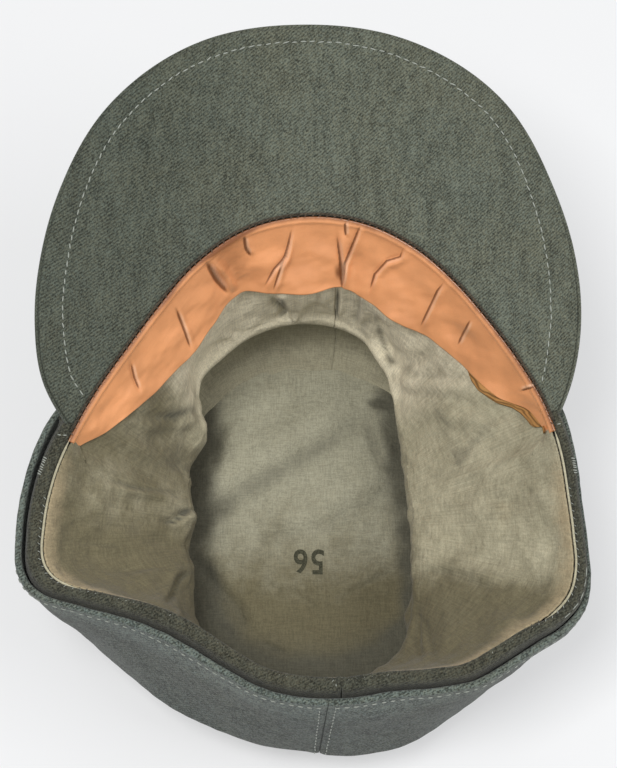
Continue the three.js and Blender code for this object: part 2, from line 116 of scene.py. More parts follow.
# How near cloth must come to a crease to take part in it, and what stands for the distance of a place
# that is hidden, and of one that is out of reach.
CREASE_REACH, HIDDEN, FAR = 6, 1e6, 1e9


def table(columns, *rows):
    """A table with named columns, each of them an array."""
    return dict(zip(columns.split(), np.array(rows, dtype=float).T))


# The head opening: the lining's sewn edge, the width of the rolled cloth edge outside it, the
# turned-up curtain's outer face beyond it, and the curtain's edge below the rim.
RIM = table(
    "deg radius hem out tuck",
    (0, 85.3, 2.2, 5.4, 3.2), (15, 83.0, 2.2, 5.4, 3.2), (30, 78.3, 2.2, 5.4, 3.2),
    (45, 74, 2.2, 5.4, 3.2), (58, 73.3, 2.2, 5.6, 3.2), (70, 75.8, 3.2, 7.4, 3.2),
    (85, 82.2, 7, 11.4, 3.2), (97, 89.7, 7.4, 10.8, 2.6), (106, 95.6, 6.8, 10.2, 2.5),
    (113, 99.8, 6.4, 9.7, 2.5), (118, 98, 6.2, 9.5, 2.5), (125, 88.2, 5.6, 9.2, 2.5),
    (133, 79.2, 5.6, 9, 2.5), (141, 74.6, 5.2, 8.8, 2.5), (150, 73.4, 5, 8.6, 2.5),
    (160, 75.4, 4.6, 8.1, 2.5), (170, 78.7, 4.5, 8, 2.5), (180, 80.3, 4.9, 8.3, 2.5),
    (190, 81.7, 4.9, 8.3, 2.5), (200, 83.8, 4.6, 8, 2.6), (210, 89.6, 4.5, 8, 3),
    (216, 94, 4, 7.6, 3.3), (223, 96.4, 4, 7.5, 3.6), (230, 99.5, 4.1, 7.5, 4.1),
    (236, 103.9, 4.5, 7.2, 5), (241, 105.4, 4.8, 6.6, 5.7), (246, 103.4, 4.6, 6, 6),
    (252, 98.8, 4.4, 5.7, 6.1), (260, 93.9, 4.4, 5.5, 6.2), (269, 90.4, 4.8, 5.9, 6.2),
    (280, 86.6, 4.4, 6.6, 5), (292, 82.6, 2.4, 5.8, 3.4),
    (305, 80.5, 2.2, 5.4, 3.2), (318, 81.2, 2.2, 5.4, 3.2), (332, 83.6, 2.2, 5.4, 3.2),
    (346, 85.4, 2.2, 5.4, 3.2),
)

# The turned-up curtain's free edge: its outer face's radius and how deep the curtain is.
CURTAIN_EDGE = table(
    "deg radius depth",
    (0, 91.0, 38), (16, 89.4, 39), (32, 85.0, 46), (48, 80.6, 55), (66, 81.0, 60), (88, 88.0, 62),
    (104, 95.5, 62), (115, 98.0, 61), (125, 94.0, 60), (138, 91.2, 58), (152, 90.8, 57),
    (166, 91.2, 57), (180, 92.6, 57), (191, 95.4, 57), (203, 97.2, 57), (217, 95.5, 58),
    (230, 96.8, 59), (242, 101.6, 60), (252, 99.2, 61), (266, 92.5, 62), (286, 86.0, 61),
    (304, 83.6, 58), (322, 86.0, 48), (341, 90.0, 40),
)

# The peak's outer edge.
PEAK_EDGE = table(
    "deg radius",
    (-82, 91.2), (-76, 97.6), (-66, 107.2), (-55, 117), (-45, 126.1), (-30, 141), (-15, 148.5), (0, 149.8),
    (15, 147.9), (30, 138.8), (45, 124), (55, 114.3), (66, 104.6), (76, 95.6), (84, 85),
)

# The loose lining's waist, where it hangs furthest into the cap.
WAIST = table(
    "deg radius",
    (0, 74.0), (17, 71.5), (29, 67.0), (38, 62.0), (47, 54.5), (57, 48.0), (68, 46.0), (80, 44.2),
    (92, 44.8), (104, 45.2), (118, 48.0), (131, 54.0), (144, 63.0), (160, 70.0), (180, 72.0),
    (200, 72.0), (214, 69.0), (223, 60.0), (234, 49.5), (246, 44.0), (258, 40.6), (271, 39.2),
    (286, 39.8), (300, 43.4), (312, 48.6), (321, 55.0), (330, 63.0), (344, 71.5),
)

# The leather sweatband: how far its free edge leans into the cap and hangs below the rim.
BAND_EDGE = table(
    "deg lean drop",
    (-86, 1.0, 4.2), (-82, 1.8, 7.4), (-77, 3.0, 12.0), (-70, 8.4, 17.5), (-58, 9.8, 23.5),
    (-44, 11.6, 27.5), (-30, 16.1, 29.0), (-19, 15.2, 29.0), (-11, 13.2, 29.0), (0, 16.4, 30.0),
    (10, 13.9, 29.4), (18, 8.8, 28.8), (24, 9.0, 28.2), (31, 12.2, 28.0), (47, 11.7, 27.0),
    (63, 10.5, 23.0), (73, 9.6, 18.4), (81, 7.0, 13.8), (85, 3.4, 10.0), (88, 1.4, 6.0),
)

# The lining's way down from its waist: how far it stands out, from 0 at the waist to 1 at the foot,
# and its height. First where it hangs freely, then at the front, where it rolls under.
LINING_HANG = (
    ((0.22, 46.0), (0.35, 47.0)),
    ((0.04, 40.0), (-0.1, 39.5)),
    ((0.0, 34.0), (0.35, 34.0)),
    ((0.2, 25.0), (1.7, 31.5)),
    ((0.62, 12.2), (1.75, 20.0)),
    ((0.95, 6.0), (1.0, 8.5)),
)

# Folds that run down the side lining: azimuth, half width in degrees, and how far each stands in.
SIDE_FOLDS = (
    (40, 8, -3.0), (54, 8, 2.5), (74, 8, -2.5), (97, 8, 2.5), (113, 8, -2.5), (136, 9, -2.5),
    (218, 9, 2.5),
)


# ---- Shape functions, on arrays ----------------------------------------------------------------


def mix(a, b, share):
    """A share of the way from a to b."""
    return a + (b - a) * share


def smooth(value, low, high):
    """0 below low, 1 above high, and a soft step between them."""
    share = np.clip((value - low) / (high - low), 0.0, 1.0)
    return share * share * (3.0 - 2.0 * share)


def bump(value, middle, width):
    """1 at the middle, and dying out over about twice the width at both sides."""
    return np.exp(-(((value - middle) / width) ** 2))


def from_front(deg):
    """An azimuth between -180 and 180 degrees."""
    return (np.asarray(deg) + 180.0) % 360.0 - 180.0


def curve_through(degs, values, deg):
    """The smooth curve through a table's rows, the first and last of which only lead in and out."""
    i = np.clip(np.searchsorted(degs, deg, side="right") - 1, 1, len(degs) - 3)
    span = degs[i + 1] - degs[i]
    t = (deg - degs[i]) / span
    leave = (values[i + 1] - values[i - 1]) / (degs[i + 1] - degs[i - 1]) * span
    arrive = (values[i + 2] - values[i]) / (degs[i + 2] - degs[i]) * span
    straight = mix(values[i], values[i + 1], t * t * (3 - 2 * t))
    return straight + t * (1 - t) * (leave * (1 - t) - arrive * t)


def ring(rows, column, deg):
    """A column of a table that goes all round the head."""
    degs, values = rows["deg"], rows[column]
    degs = np.concatenate([degs[-2:] - 360, degs, degs[:3] + 360])
    values = np.concatenate([values[-2:], values, values[:3]])
    return curve_through(degs, values, np.asarray(deg) % 360.0)


def strip(rows, column, deg):
    """A column of a table that runs from one end to another, held at its ends beyond them."""
    degs, values = (np.pad(rows[key], 1, mode="edge") for key in ("deg", column))
    return curve_through(degs, values, np.clip(deg, degs[0], degs[-1]))


def at(deg, radius, height):
    """Points in millimetres, from their azimuth, radius and height."""
    deg, radius, height = np.broadcast_arrays(deg, radius, height)
    angle = np.radians(deg)
    return np.stack([HEAD_X + radius * np.sin(angle), HEAD_Y - radius * np.cos(angle), height], axis=-1)


def azimuth_of(points):
    return np.degrees(np.arctan2(points[..., 0] - HEAD_X, HEAD_Y - points[..., 1]))


def rim_radius(deg):
    return ring(RIM, "radius", deg)


def rim_height(deg):
    return RIM_HEIGHT + RIM_SLOPE * rim_radius(deg) * np.cos(np.radians(deg))


def bareness(deg):
    """1 where the peak is sewn to the rim, 0 where the rim has its own rolled edge."""
    away = from_front(deg)
    return 1 - smooth(np.maximum(away - PEAK_RIGHT, PEAK_LEFT - away), -2.4, -0.4)


def top_radius(deg):
    across = np.abs(np.sin(np.radians(deg)) / TOP_WIDTH) ** TOP_SQUARENESS
    lengthwise = np.abs(np.cos(np.radians(deg)) / TOP_LENGTH) ** TOP_SQUARENESS
    return (across + lengthwise) ** (-1 / TOP_SQUARENESS)


def wall_top(deg):
    return rim_height(deg) - mix(ROLL_DEPTH, BOARD + PEAK_CLOTH + 2 * GAP + WALL_LIP, bareness(deg))


def neck_radius(deg):
    return rim_radius(deg) + ring(RIM, "out", deg) - CURTAIN - 2 * GAP


def wall_radius(deg, height):
    share = np.clip((height - WALL_FOOT) / (wall_top(deg) - WALL_FOOT), 0, 1)
    return mix(top_radius(deg) + WALL, neck_radius(deg), 1 - (1 - share) ** WALL_SWELL)


def along_knots(knots, share):
    """Points on the smooth line through knots, each a (radius, height) pair of arrays."""
    line = np.array([np.broadcast_arrays(*knot, share)[:2] for knot in knots])
    line = np.concatenate([2 * line[:1] - line[1:2], line, 2 * line[-1:] - line[-2:-1]])
    way = np.clip(share, 0, 1) * (len(knots) - 1)
    i = np.minimum(way.astype(int), len(knots) - 2)
    t = way - i
    n = np.arange(len(share))
    a, b, c, d = (line[i + k, :, n] for k in range(4))
    t = t[:, None]
    bend, twist = 2 * a - 5 * b + 4 * c - d, 3 * b - a - 3 * c + d
    curve = 0.5 * (2 * b + (c - a) * t + bend * t**2 + twist * t**3)
    return curve[:, 0], curve[:, 1]


def round_section(walk, side=0.44):
    """A way round a thin section: down its outer face, round its foot, up its inner face, over its top.

    Returns the share down the section and the offsets out and up, in half thicknesses.
    """
    stops = [0, side, 0.5, 0.5 + side, 1]
    share = np.interp(walk, stops, [0, 1, 1, 0, 0])
    angle = np.interp(walk, stops, [0, 0, -math.pi, -math.pi, -2 * math.pi])
    return share, np.cos(angle), np.sin(angle)


def lumps(points, scale, seed=0.0):
    """Soft seeded unevenness between about -1 and 1, with features of about scale millimetres."""
    k = 2 * math.pi / scale
    x, y, z = (points[..., i] for i in range(3))
    total = np.zeros(x.shape)
    for i in range(7):
        turn = seed + 2.4 * i
        tilt = math.sin(1.7 * i + seed)
        way = x * math.cos(turn) + y * math.sin(turn) + z * tilt
        cross = y * math.cos(turn) - x * math.sin(turn) + z * math.cos(3.1 * i + seed)
        total += np.sin(k * way * (0.7 + 0.13 * i) + 1.3 * np.sin(0.6 * k * cross + i) + 5.1 * i)
    return total / 4.0


# ---- Meshes ------------------------------------------------------------------------------------


def add_object(name, data):
    piece = bpy.data.objects.new(name, data)
    bpy.context.scene.collection.objects.link(piece)
    return piece


def mesh_from(bm, name):
    """A smoothly shaded mesh made of bm, which is used up."""
    mesh = bpy.data.meshes.new(name)
    bm.to_mesh(mesh)
    bm.free()
    mesh.shade_smooth()
    return mesh


def steps_of(points):
    """The distances from each point to the next."""
    return np.linalg.norm(np.diff(points, axis=0), axis=1)


def turn_faces(bm, toward):
    """Turns the faces so that most of them look the way that toward gives for their middles."""
    bm.normal_update()
    middles = np.array([face.calc_center_median() for face in bm.faces]) / MM
    normals = np.array([face.normal for face in bm.faces])
    if (normals * toward(middles)).sum() < 0:
        bmesh.ops.reverse_faces(bm, faces=bm.faces)


def fit_cloth_map(mesh, place):
    """Stretches the UV map to the metres that the cloth measures across and down its middle."""
    line, middle = np.linspace(0, 1, 200), np.full(200, 0.5)
    size = [steps_of(place(*way)).sum() * MM for way in ((line, middle), (middle, line))]
    uvs = mesh.uv_layers["cloth"].data
    flat = np.empty(len(uvs) * 2)
    uvs.foreach_get("uv", flat)
    uvs.foreach_set("uv", (flat.reshape(-1, 2) * size).ravel())


def woven(name, across, down, place, toward=None, whole=False, section=False, wall=0.0, marks=None):
    """A piece of cloth or leather, made from a grid.

    place takes shares across and down, from 0 to 1, and returns points in millimetres. toward gives
    the way that the visible side faces. whole joins the grid's two ends, as round the head, and
    section its top and foot, as round a wall's own section. wall is the thickness given to a sheet.
    marks names point attributes, each a function of the points.
    """
    bm = bmesh.new()
    bm.loops.layers.uv.new("cloth")
    bmesh.ops.create_grid(bm, x_segments=across, y_segments=down, size=0.5, calc_uvs=True)
    shares = np.array([vert.co[:2] for vert in bm.verts]) + 0.5
    for vert, point in zip(bm.verts, place(shares[:, 0], shares[:, 1]) * MM):
        vert.co = point
    if whole or section:
        bmesh.ops.remove_doubles(bm, verts=bm.verts, dist=1e-7)
    if section:
        bmesh.ops.holes_fill(bm, edges=[edge for edge in bm.edges if edge.is_boundary])
        bmesh.ops.recalc_face_normals(bm, faces=bm.faces)
    else:
        turn_faces(bm, toward)
    mesh = mesh_from(bm, name)
    fit_cloth_map(mesh, place)
    places = np.empty(len(mesh.vertices) * 3)
    mesh.vertices.foreach_get("co", places)
    for key, mark in (marks or {}).items():
        layer = mesh.attributes.new(name=key, type="FLOAT", domain="POINT")
        layer.data.foreach_set("value", mark(places.reshape(-1, 3) / MM))
    piece = add_object(name, mesh)
    if wall:
        solid = piece.modifiers.new("Thickness", "SOLIDIFY")
        solid.thickness = wall * MM
        solid.offset = -1
    return piece


def unit(vectors):
    return vectors / np.maximum(np.linalg.norm(vectors, axis=-1, keepdims=True), 1e-9)


def lifted(place, across, down, rise, toward):
    """Points of place moved along its own normals by rise, which takes the points and the shares."""
    step = 0.002
    points = place(across, down)
    along = place(np.minimum(across + step, 1), down) - place(np.maximum(across - step, 0), down)
    beside = place(across, np.minimum(down + step, 1)) - place(across, np.maximum(down - step, 0))
    normals = unit(np.cross(along, beside))
    facing = np.sign((normals * toward(points)).sum(axis=-1))[..., None]
    return points + normals * facing * np.asarray(rise(points, across, down))[..., None]


def inward(points):
    """Towards the head's axis, and up."""
    way = np.stack([HEAD_X - points[..., 0], HEAD_Y - points[..., 1], 0 * points[..., 2]], axis=-1)
    return unit(way) + np.array([0, 0, 0.6])


def outward(points):
    return -inward(points)


def upward(points):
    return np.broadcast_to([0.0, 0.0, 1.0], points.shape)


def downward(points):
    return -upward(points)


def as_seen(points):
    """Places as they appear to someone who looks into the cap from behind it."""
    return np.stack([points[..., 0], points[..., 1] - LOOK * points[..., 2]], axis=-1)


def stops_as_seen(points, stops, covered):
    """Where a crease's stops appear, each lifted onto the cloth, or None if the cloth isn't near.

    Where some of the cloth is covered, a stop is laid on the rest, no more than 8 mm below the
    uppermost place round it.
    """
    away = np.array([((points[:, :2] - stop) ** 2).sum(axis=1) for stop in stops])
    if away.min() > CREASE_REACH**2:
        return None
    if covered is None:
        picked = away.argmin(axis=1)
    else:
        away = np.where(covered, HIDDEN, away)
        upper = [points[near <= max(near.min(), 2.0), 2].max() - 8 for near in away]
        picked = [np.where(points[:, 2] > low, near, FAR).argmin() for near, low in zip(away, upper)]
    return np.array([(x, y - LOOK * points[i, 2]) for (x, y), i in zip(stops, picked)])


def beside_line(stops, seen):
    """How far to the left of a line through stops each place lies, and its share of the line's way."""
    lengths = np.maximum(steps_of(stops), 0.01)
    nearest = np.full(len(seen), FAR)
    signed, way = np.zeros(len(seen)), np.zeros(len(seen))
    for i, (start, end) in enumerate(zip(stops[:-1], stops[1:])):
        ahead = (end - start) / lengths[i]
        off = seen - start
        along = np.clip(off @ ahead, 0, lengths[i])
        distance = np.linalg.norm(off - along[:, None] * ahead, axis=1)
        closer = distance < nearest
        side = np.sign(ahead[0] * off[:, 1] - ahead[1] * off[:, 0])
        nearest = np.where(closer, distance, nearest)
        signed = np.where(closer, side * distance, signed)
        way = np.where(closer, (lengths[:i].sum() + along) / lengths.sum(), way)
    return signed, way


def creased(points, creases, covered=None):
    """How far creases lift the cloth. covered tells which points a neighbour hides.

    A crease is its half width, how high its ridge stands to the left of its line and how deep the
    line itself is pressed in, and the places that it passes, in millimetres from above.
    """
    total, seen = np.zeros(len(points)), as_seen(points)
    for width, rise, dip, *stops in creases:
        stops = stops_as_seen(points, stops, covered)
        if stops is None:
            continue
        signed, way = beside_line(stops, seen)
        taper = smooth(way, -0.05, 0.3) * smooth(1 - way, -0.05, 0.3)
        ridge = rise * bump(signed, width, width)
        total += taper * (ridge - dip * bump(signed, -0.1 * width, 0.5 * width))
    return total


def spaced(line, start, end, pitch):
    """Shares of the way from start to end at which line, a function, has walked each pitch."""
    stops = np.linspace(start, end, 4000)
    walked = np.concatenate([[0], np.cumsum(steps_of(line(stops)))])
    count = max(int(walked[-1] / pitch), 1)
    return np.interp((np.arange(count) + 0.5) * walked[-1] / count, walked, stops)


def sew(bm, middle, ahead, up, length, width):
    """One stitch: a rounded grain of thread, middle and its two directions given in millimetres."""
    ahead, up = Vector(ahead).normalized(), Vector(up)
    side = up.cross(ahead).normalized()
    turn = Matrix((ahead * length / 2, side * width / 2, ahead.cross(side) * width / 2)).transposed()
    where = Matrix.Translation(Vector(middle) * MM) @ (turn * MM).to_4x4()
    bmesh.ops.create_uvsphere(bm, u_segments=8, v_segments=5, radius=1.0,
                              matrix=where @ Matrix.Rotation(math.pi / 2, 4, "Y"))


def stitched(name, rows):
    """A piece made of stitches, each a middle, a way ahead, a way up, a length and a width.

    They are made twenty at a time, because a bmesh slows down as it fills.
    """
    rows = list(rows)
    batch, whole = bpy.data.meshes.new("batch"), bmesh.new()
    for first in range(0, len(rows), 20):
        few = bmesh.new()
        for row in rows[first:first + 20]:
            sew(few, *row)
        few.to_mesh(batch)
        few.free()
        whole.from_mesh(batch)
    bpy.data.meshes.remove(batch)
    return add_object(name, mesh_from(whole, name))


def stitch_line(line, start, end, up, pitch, length, width, seed, slant=0.0):
    """Stitches spaced along line, which turns stops into points, each turned by slant degrees."""
    random = np.random.default_rng(seed)
    for stop in spaced(line, start, end, pitch):
        near = line(np.array([stop - 0.05, stop, stop + 0.05]))
        ahead = unit(near[2] - near[0])
        top = unit(np.asarray(up(near[1])))
        turned = Matrix.Rotation(math.radians(slant + random.normal() * 4), 3, Vector(top)) @ Vector(ahead)
        wobble = random.normal(size=3) * 0.06
        yield near[1] + wobble, turned, top, length * random.uniform(0.85, 1.1), width


def tube(name, line, start, end, steps, radius):
    """A rolled edge laid along line, closed at both ends. Its radius is a function of the stops."""
    def place(across, around):
        stops = mix(start, end, across)
        step = (end - start) * 0.002
        middle = line(stops)
        ahead = unit(line(stops + step) - line(stops - step))
        side = unit(np.cross(ahead, upward(middle)))
        up = np.cross(side, ahead)
        angle = (2 * math.pi * around)[..., None]
        return middle + radius(stops)[..., None] * (side * np.cos(angle) + up * np.sin(angle))

    return woven(name, steps, 10, place, section=True)


def tapering(start, end, radius):
    """A rolled edge's radius, which dwindles over the last 3 degrees at both ends."""
    return lambda deg: 0.06 + radius * smooth(deg, start, start + 3) * smooth(-deg, -end, 3 - end)


# ---- Surfaces of the pieces --------------------------------------------------------------------

# How far inside the peak's edge its stitch line runs.
PEAK_STITCHES = table(
    "deg inset",
    (-74, 12.4), (-66, 12.2), (-55, 11.0), (-42, 9.0), (-30, 7.6), (-16, 6.8), (0, 6.1), (16, 7.0),
    (31, 8.0), (43, 9.4), (52, 10.4), (63, 11.0), (73, 12.2), (76, 14.4),
)

# Creases: half width, ridge, dip, and the places passed, seen from above. See creased.
LEATHER_CREASES = (
    (2.4, 2.0, 1.5, (35.0, -41.6), (31.9, -40.8), (27.4, -38.6)),
    (0.9, 0.7, 0.8, (21.2, -51.0), (20.6, -49.4), (18.8, -47.9)),
    (1.2, 0.8, 0.7, (3.6, -55.6), (6.2, -48.9), (10.7, -45.7), (15.2, -41.0)),
    (1.1, 1.1, 0.3, (4.9, -52.0), (11.5, -40.0)),
    (1.6, 1.5, 1.0, (-12.2, -54.4), (-13.4, -50.0), (-14.3, -46.0), (-14.3, -40.4)),
    (1.2, 1.2, 0.9, (-21.6, -56.4), (-18.5, -51.7), (-15.4, -47.2), (-14.3, -41.4)),
    (0.7, 0.5, 0.7, (-15.2, -56.0), (-15.6, -52.8)),
    (1.5, 1.2, 0.8, (-36.9, -47.4), (-35.2, -45.0), (-30.5, -45.2), (-26.3, -43.1), (-24.0, -38.4)),
    (1.5, 1.3, 0.3, (-51.6, -34.6), (-48.7, -33.1), (-42.4, -25.6)),
    (1.3, 0.2, 0.8, (61.8, -6.6), (60.8, -3.0), (59.0, 0.6)),
    (0.9, 0.4, 0.6, (-77.1, 4.2), (-82.8, 4.9)),
    (1.0, 0.5, 0.4, (46.0, -27.0), (43.0, -22.0), (41.0, -17.5)),
    (0.9, 0.4, 0.3, (-60.5, -22.0), (-56.0, -17.0)),
)

# Painted shade on the leather, as browner patches: place, size, and how brown. See greyed.
LEATHER_PATCHES = table(
    "x y size grey",
    (24, -47, 6.5, 0.5), (31, -43, 5, 0.45), (-12.9, -46, 1.7, 0.8), (-21, -48, 5, 0.3), (46, -26, 5, 0.25),
)

SIDE_LINING_CREASES = (
    # On the right.
    (2.6, 1.7, 1.9, (38.0, -8.0), (41.7, -4.2), (48.3, 1.8), (55.5, 5.5), (62.8, 8.3)),
    (5.0, 1.2, 0.8, (46.0, 2.4), (56.1, 12.0), (67.2, 14.2)),
    (1.9, 1.5, 1.6, (40.0, 23.4), (49.5, 27.0), (60.9, 30.7), (73.4, 31.6)),
    (2.2, 1.8, 3.2, (40.5, 29.0), (44.8, 34.3), (47.3, 37.8), (52.3, 40.8)),
    (1.2, 0.8, 0.9, (63.6, 51.6), (69.2, 54.2), (84.0, 56.9)),
    (1.5, 1.0, 1.2, (83.4, 73.0), (87.0, 67.0), (91.2, 66.2)),
    (2.2, 1.8, 2.4, (49.6, 82.0), (47.7, 69.0), (46.0, 60.6), (42.0, 56.0)),
    (6.0, 1.4, 0.7, (40.5, 14.5), (52.0, 18.5), (66.0, 22.0)),
    (6.0, 1.2, 0.6, (42.0, 47.0), (55.0, 48.0), (68.0, 44.5)),
    (2.4, 0.9, 0.7, (50.0, 58.0), (60.0, 62.0), (72.0, 64.0)),
    (1.6, 1.2, 1.1, (39.0, 66.0), (44.0, 74.0), (46.0, 84.0)),
    (1.5, 1.1, 0.9, (34.0, 74.0), (39.0, 82.0), (41.0, 88.0)),
    # On the left.
    (2.8, 1.9, 1.8, (-36.6, -23.4), (-32.8, -28.4), (-26.6, -35.6)),
    (3.6, 1.8, 1.5, (-46.0, -19.4), (-39.5, -21.1), (-35.8, -23.2)),
    (3.8, 1.8, 1.5, (-62.0, -6.4), (-49.8, -12.1), (-42.1, -16.5), (-35.0, -22.6)),
    (4.0, 1.9, 1.6, (-79.0, 9.4), (-69.8, 7.9), (-57.4, -0.2), (-46.9, -6.6), (-36.0, -14.6)),
    (2.0, 1.4, 1.2, (-40.6, 98.0), (-40.2, 86.0), (-41.6, 67.8)),
    (1.6, 1.2, 1.0, (-45.4, 96.0), (-44.9, 87.7), (-43.4, 75.0)),
    (3.6, 1.0, 0.7, (-40.0, 53.4), (-53.8, 60.0), (-63.7, 66.8), (-73.0, 72.2)),
    (7.0, 0.9, 0.5, (-42.0, 24.0), (-58.0, 22.0), (-76.0, 26.0)),
    (1.6, 0.9, 1.4, (-13.0, -45.0), (-13.0, -46.8), (-13.4, -50.0)),
    (2.2, 1.8, 1.0, (-24.4, -38.4), (-21.6, -41.4), (-20.0, -44.6)),
    # In front.
    (2.4, 2.0, 2.6, (12.4, -42.6), (7.6, -45.4), (6.6, -47.2), (10.6, -48.4)),
    (2.0, 1.6, 0.6, (2.6, -41.6), (3.4, -46.0), (7.0, -49.0)),
    (3.0, 1.2, 1.0, (26.2, -37.4), (27.2, -44.0)),
    (2.6, 0.9, 0.6, (-5.0, -42.0), (-5.6, -48.0)),
)

TOP_LINING_CREASES = (
    (8.5, 2.6, 2.0, (44.0, 26.0), (24.1, 10.1), (4.7, -1.1), (-10.0, -10.0), (-27.0, -24.0)),
    (7.0, 2.0, 1.6, (30.0, 31.0), (7.6, 28.9), (-9.8, 24.7), (-29.3, 13.4), (-42.0, 1.0)),
    (3.0, 1.8, 1.8, (-24.0, -27.4), (-28.0, -25.6), (-36.0, -24.4)),
    (3.4, 1.5, 1.3, (-23.8, -21.0), (-29.5, -1.8), (-33.4, 4.0)),
    (5.0, 1.8, 1.6, (44.0, 36.0), (33.5, 49.7), (25.8, 57.8), (19.9, 70.0)),
    (4.0, 0.8, 0.7, (32.0, 34.8), (11.3, 38.2)),
    (3.0, 0.7, 0.7, (-8.0, 37.8), (-30.9, 37.0)),
    (3.2, 1.0, 0.9, (-12.4, 55.9), (-36.0, 42.4)),
    (5.0, 1.2, 1.2, (31.2, -21.0), (35.5, 6.0)),
    (2.6, 1.0, 1.0, (18.2, 71.6), (5.6, 77.0)),
    (3.4, 0.8, 0.7, (21.0, 46.8), (0.0, 55.0), (-10.0, 63.0)),
    (3.6, 1.0, 0.8, (18.0, -34.0), (6.0, -44.0)),
)

# Soft grey patches on the top lining, partly grime and partly painted shade where it lies deep: place,
# size, and how grey. See greyed.
TOP_LINING_PATCHES = table(
    "x y size grey",
    (37, -22, 8, 0.7), (40, -8, 7.5, 0.9), (40, 8, 7.5, 0.9), (39, 22, 8.5, 1.0), (30, 18, 6, 0.6),
    (20, 10, 6, 0.5), (11, 5, 6, 0.42), (1, -1, 6, 0.38), (-9, -7, 6, 0.38), (-19, -14, 6, 0.42),
    (-28, -23, 6, 0.5), (-30, -13, 7, 0.7), (-27, -5, 6, 0.4), (-34, 2, 5, 0.6), (-29, -26, 4, 0.8),
    (-38, -6, 4, 0.8), (-39, 14, 4, 0.7), (-40, 28, 4, 0.7), (-41, 40, 4, 0.9), (-41, 55, 4.5, 1.0),
    (-38, 70, 6, 1.0), (36, 46, 7, 0.9), (34, 56, 7, 0.8), (30, 66, 8, 0.8), (17, 76, 9, 0.5),
    (-2, 80, 9, 0.5), (-20, 78, 9, 0.5), (-32, 70, 8, 0.6),
)

# Soft grey patches on the side lining, partly grime and partly painted shade in its folds: place, size, and
# how grey. See greyed.
SIDE_LINING_PATCHES = table(
    "x y size grey",
    (66, 34, 12, 0.3), (46, 13, 7, 0.45), (56, 12, 9, 0.25), (70, 59, 10, 0.2), (54, 76, 9, 0.2),
    (48, 1, 3, 0.7), (42, -2, 4, 0.5), (45, 34, 3.5, 0.8), (53, 36, 4, 0.4), (42, 56, 4, 0.7),
    (42, 73, 5, 0.6), (-60, 28, 16, 0.3), (-84, 42, 9, 0.25), (-56, 73, 14, 0.4), (-46, 54, 8, 0.3),
    (-48, 83, 8, 0.4), (-13.1, -46, 1.4, 1.0), (-18, -44, 3.5, 0.6), (-24, -40, 4, 0.8),
    (-28, -34, 4, 0.6), (-33, -27, 3, 1.0),
)


def greyed(points, patches):
    """How grey a table of patches makes the lining or the leather: grime and painted shade on the lining,
    painted shade on the leather.
    """
    total = np.zeros(points.shape[:-1])
    for x, y, size, grey in zip(*patches.values()):
        total += grey * np.exp(-((points[..., 0] - x) ** 2 + (points[..., 1] - y) ** 2) / size**2)
    return np.clip(total, 0, MOST_DIRT_AND_SHADE)


def crevice_shade(points):
    """Painted shade in the hollow beside the overhanging sides: how deep in it the top lining lies, from 0
    to 1.
    """
    over = points + np.array([0.0, LOOK, 0.0]) * (WAIST_HEIGHT - points[..., 2:])
    radius = np.hypot(over[..., 0] - HEAD_X, over[..., 1] - HEAD_Y)
    return smooth(radius - ring(WAIST, "radius", azimuth_of(over)), -13, 1)


def peak_width(deg):
    return strip(PEAK_EDGE, "radius", deg) - rim_radius(deg) - GAP


def peak_point(deg, out, above):
    """A point over the board's slightly hollow upper face, at a distance out from the rim."""
    width = peak_width(deg)
    share = np.clip(out / width, 0, 1)
    hollow = 4 * PEAK_CAMBER * share * (1 - share) * smooth(width, 0, 40)
    height = rim_height(deg) - PEAK_CLOTH - GAP + PEAK_SLOPE * out - hollow + above
    return at(deg, rim_radius(deg) + GAP + out, height)


def board_place(across, walk):
    deg = mix(PEAK_LEFT, PEAK_RIGHT, across)
    share, face, cap = round_section(walk, 0.46)
    half, width = BOARD / 2, peak_width(deg)
    out = mix(half, width - half, share) - half * cap
    bead = (PEAK_CLOTH + GAP) * smooth(out, width - PEAK_WRAP, width - PEAK_WRAP + 0.35)
    return peak_point(deg, out, -half + half * face + bead * np.clip(face, 0, 1))


def peak_stitch_out(deg):
    return peak_width(deg) - strip(PEAK_STITCHES, "inset", deg)


def cloth_rise(deg, out):
    """The height of the peak's under cloth over the board: pressed in along its stitches and edges."""
    width, sewn = peak_width(deg) - PEAK_WRAP, peak_stitch_out(deg)
    line = bump(out, sewn, 0.8) * (np.abs(deg) < 76)
    pucker = np.sin(np.radians(deg) * 500) * bump(out, sewn, 2.6)
    edges = smooth(out, width - 0.9, width) + 0.6 * smooth(-out, -1.2, 0)
    points = at(deg, rim_radius(deg) + out, 0 * out)
    wave = 0.22 * lumps(points, 46, 2.0) + 0.1 * lumps(points, 15, 4.0)
    return GAP + PEAK_CLOTH - 0.28 * line + 0.06 * pucker - 0.8 * edges + wave


def peak_stitch_place(deg):
    out = peak_stitch_out(deg)
    return peak_point(deg, out, cloth_rise(deg, out) + 0.12)


def peak_painted_shade(points):
    """Painted shade on the peak's cloth, as the share of its colour that the cloth keeps: all on the left,
    and less on the right.
    """
    return smooth(-points[..., 0], -62, 8)


def under_cloth_place(across, down):
    deg = mix(PEAK_LEFT + 0.4, PEAK_RIGHT - 0.4, across)
    out = np.maximum(peak_width(deg) - PEAK_WRAP - 0.3, 0.8) * (1 - (1 - down) ** 1.35)
    return peak_point(deg, out, cloth_rise(deg, out))


def seam_dip(deg, radius, *seams):
    """Pressed in along seams, and raised a little where the cloth beside them is turned under."""
    total = 0 * deg
    for seam in seams:
        away = np.abs(np.radians(from_front(deg - seam))) * radius
        total += 0.25 * bump(away, 2.2, 1.5) - 0.3 * bump(away, 0, 0.45)
    return total


# The rolled edge from inside to outside: the share of its width, and the height over the rim's.
ROLL = (
    (0, -6.5), (0, -3.5), (0.05, -1.5), (0.2, -0.35), (0.42, 0.1), (0.64, -0.5), (0.78, -2.0), (0.84, -4.0),
)


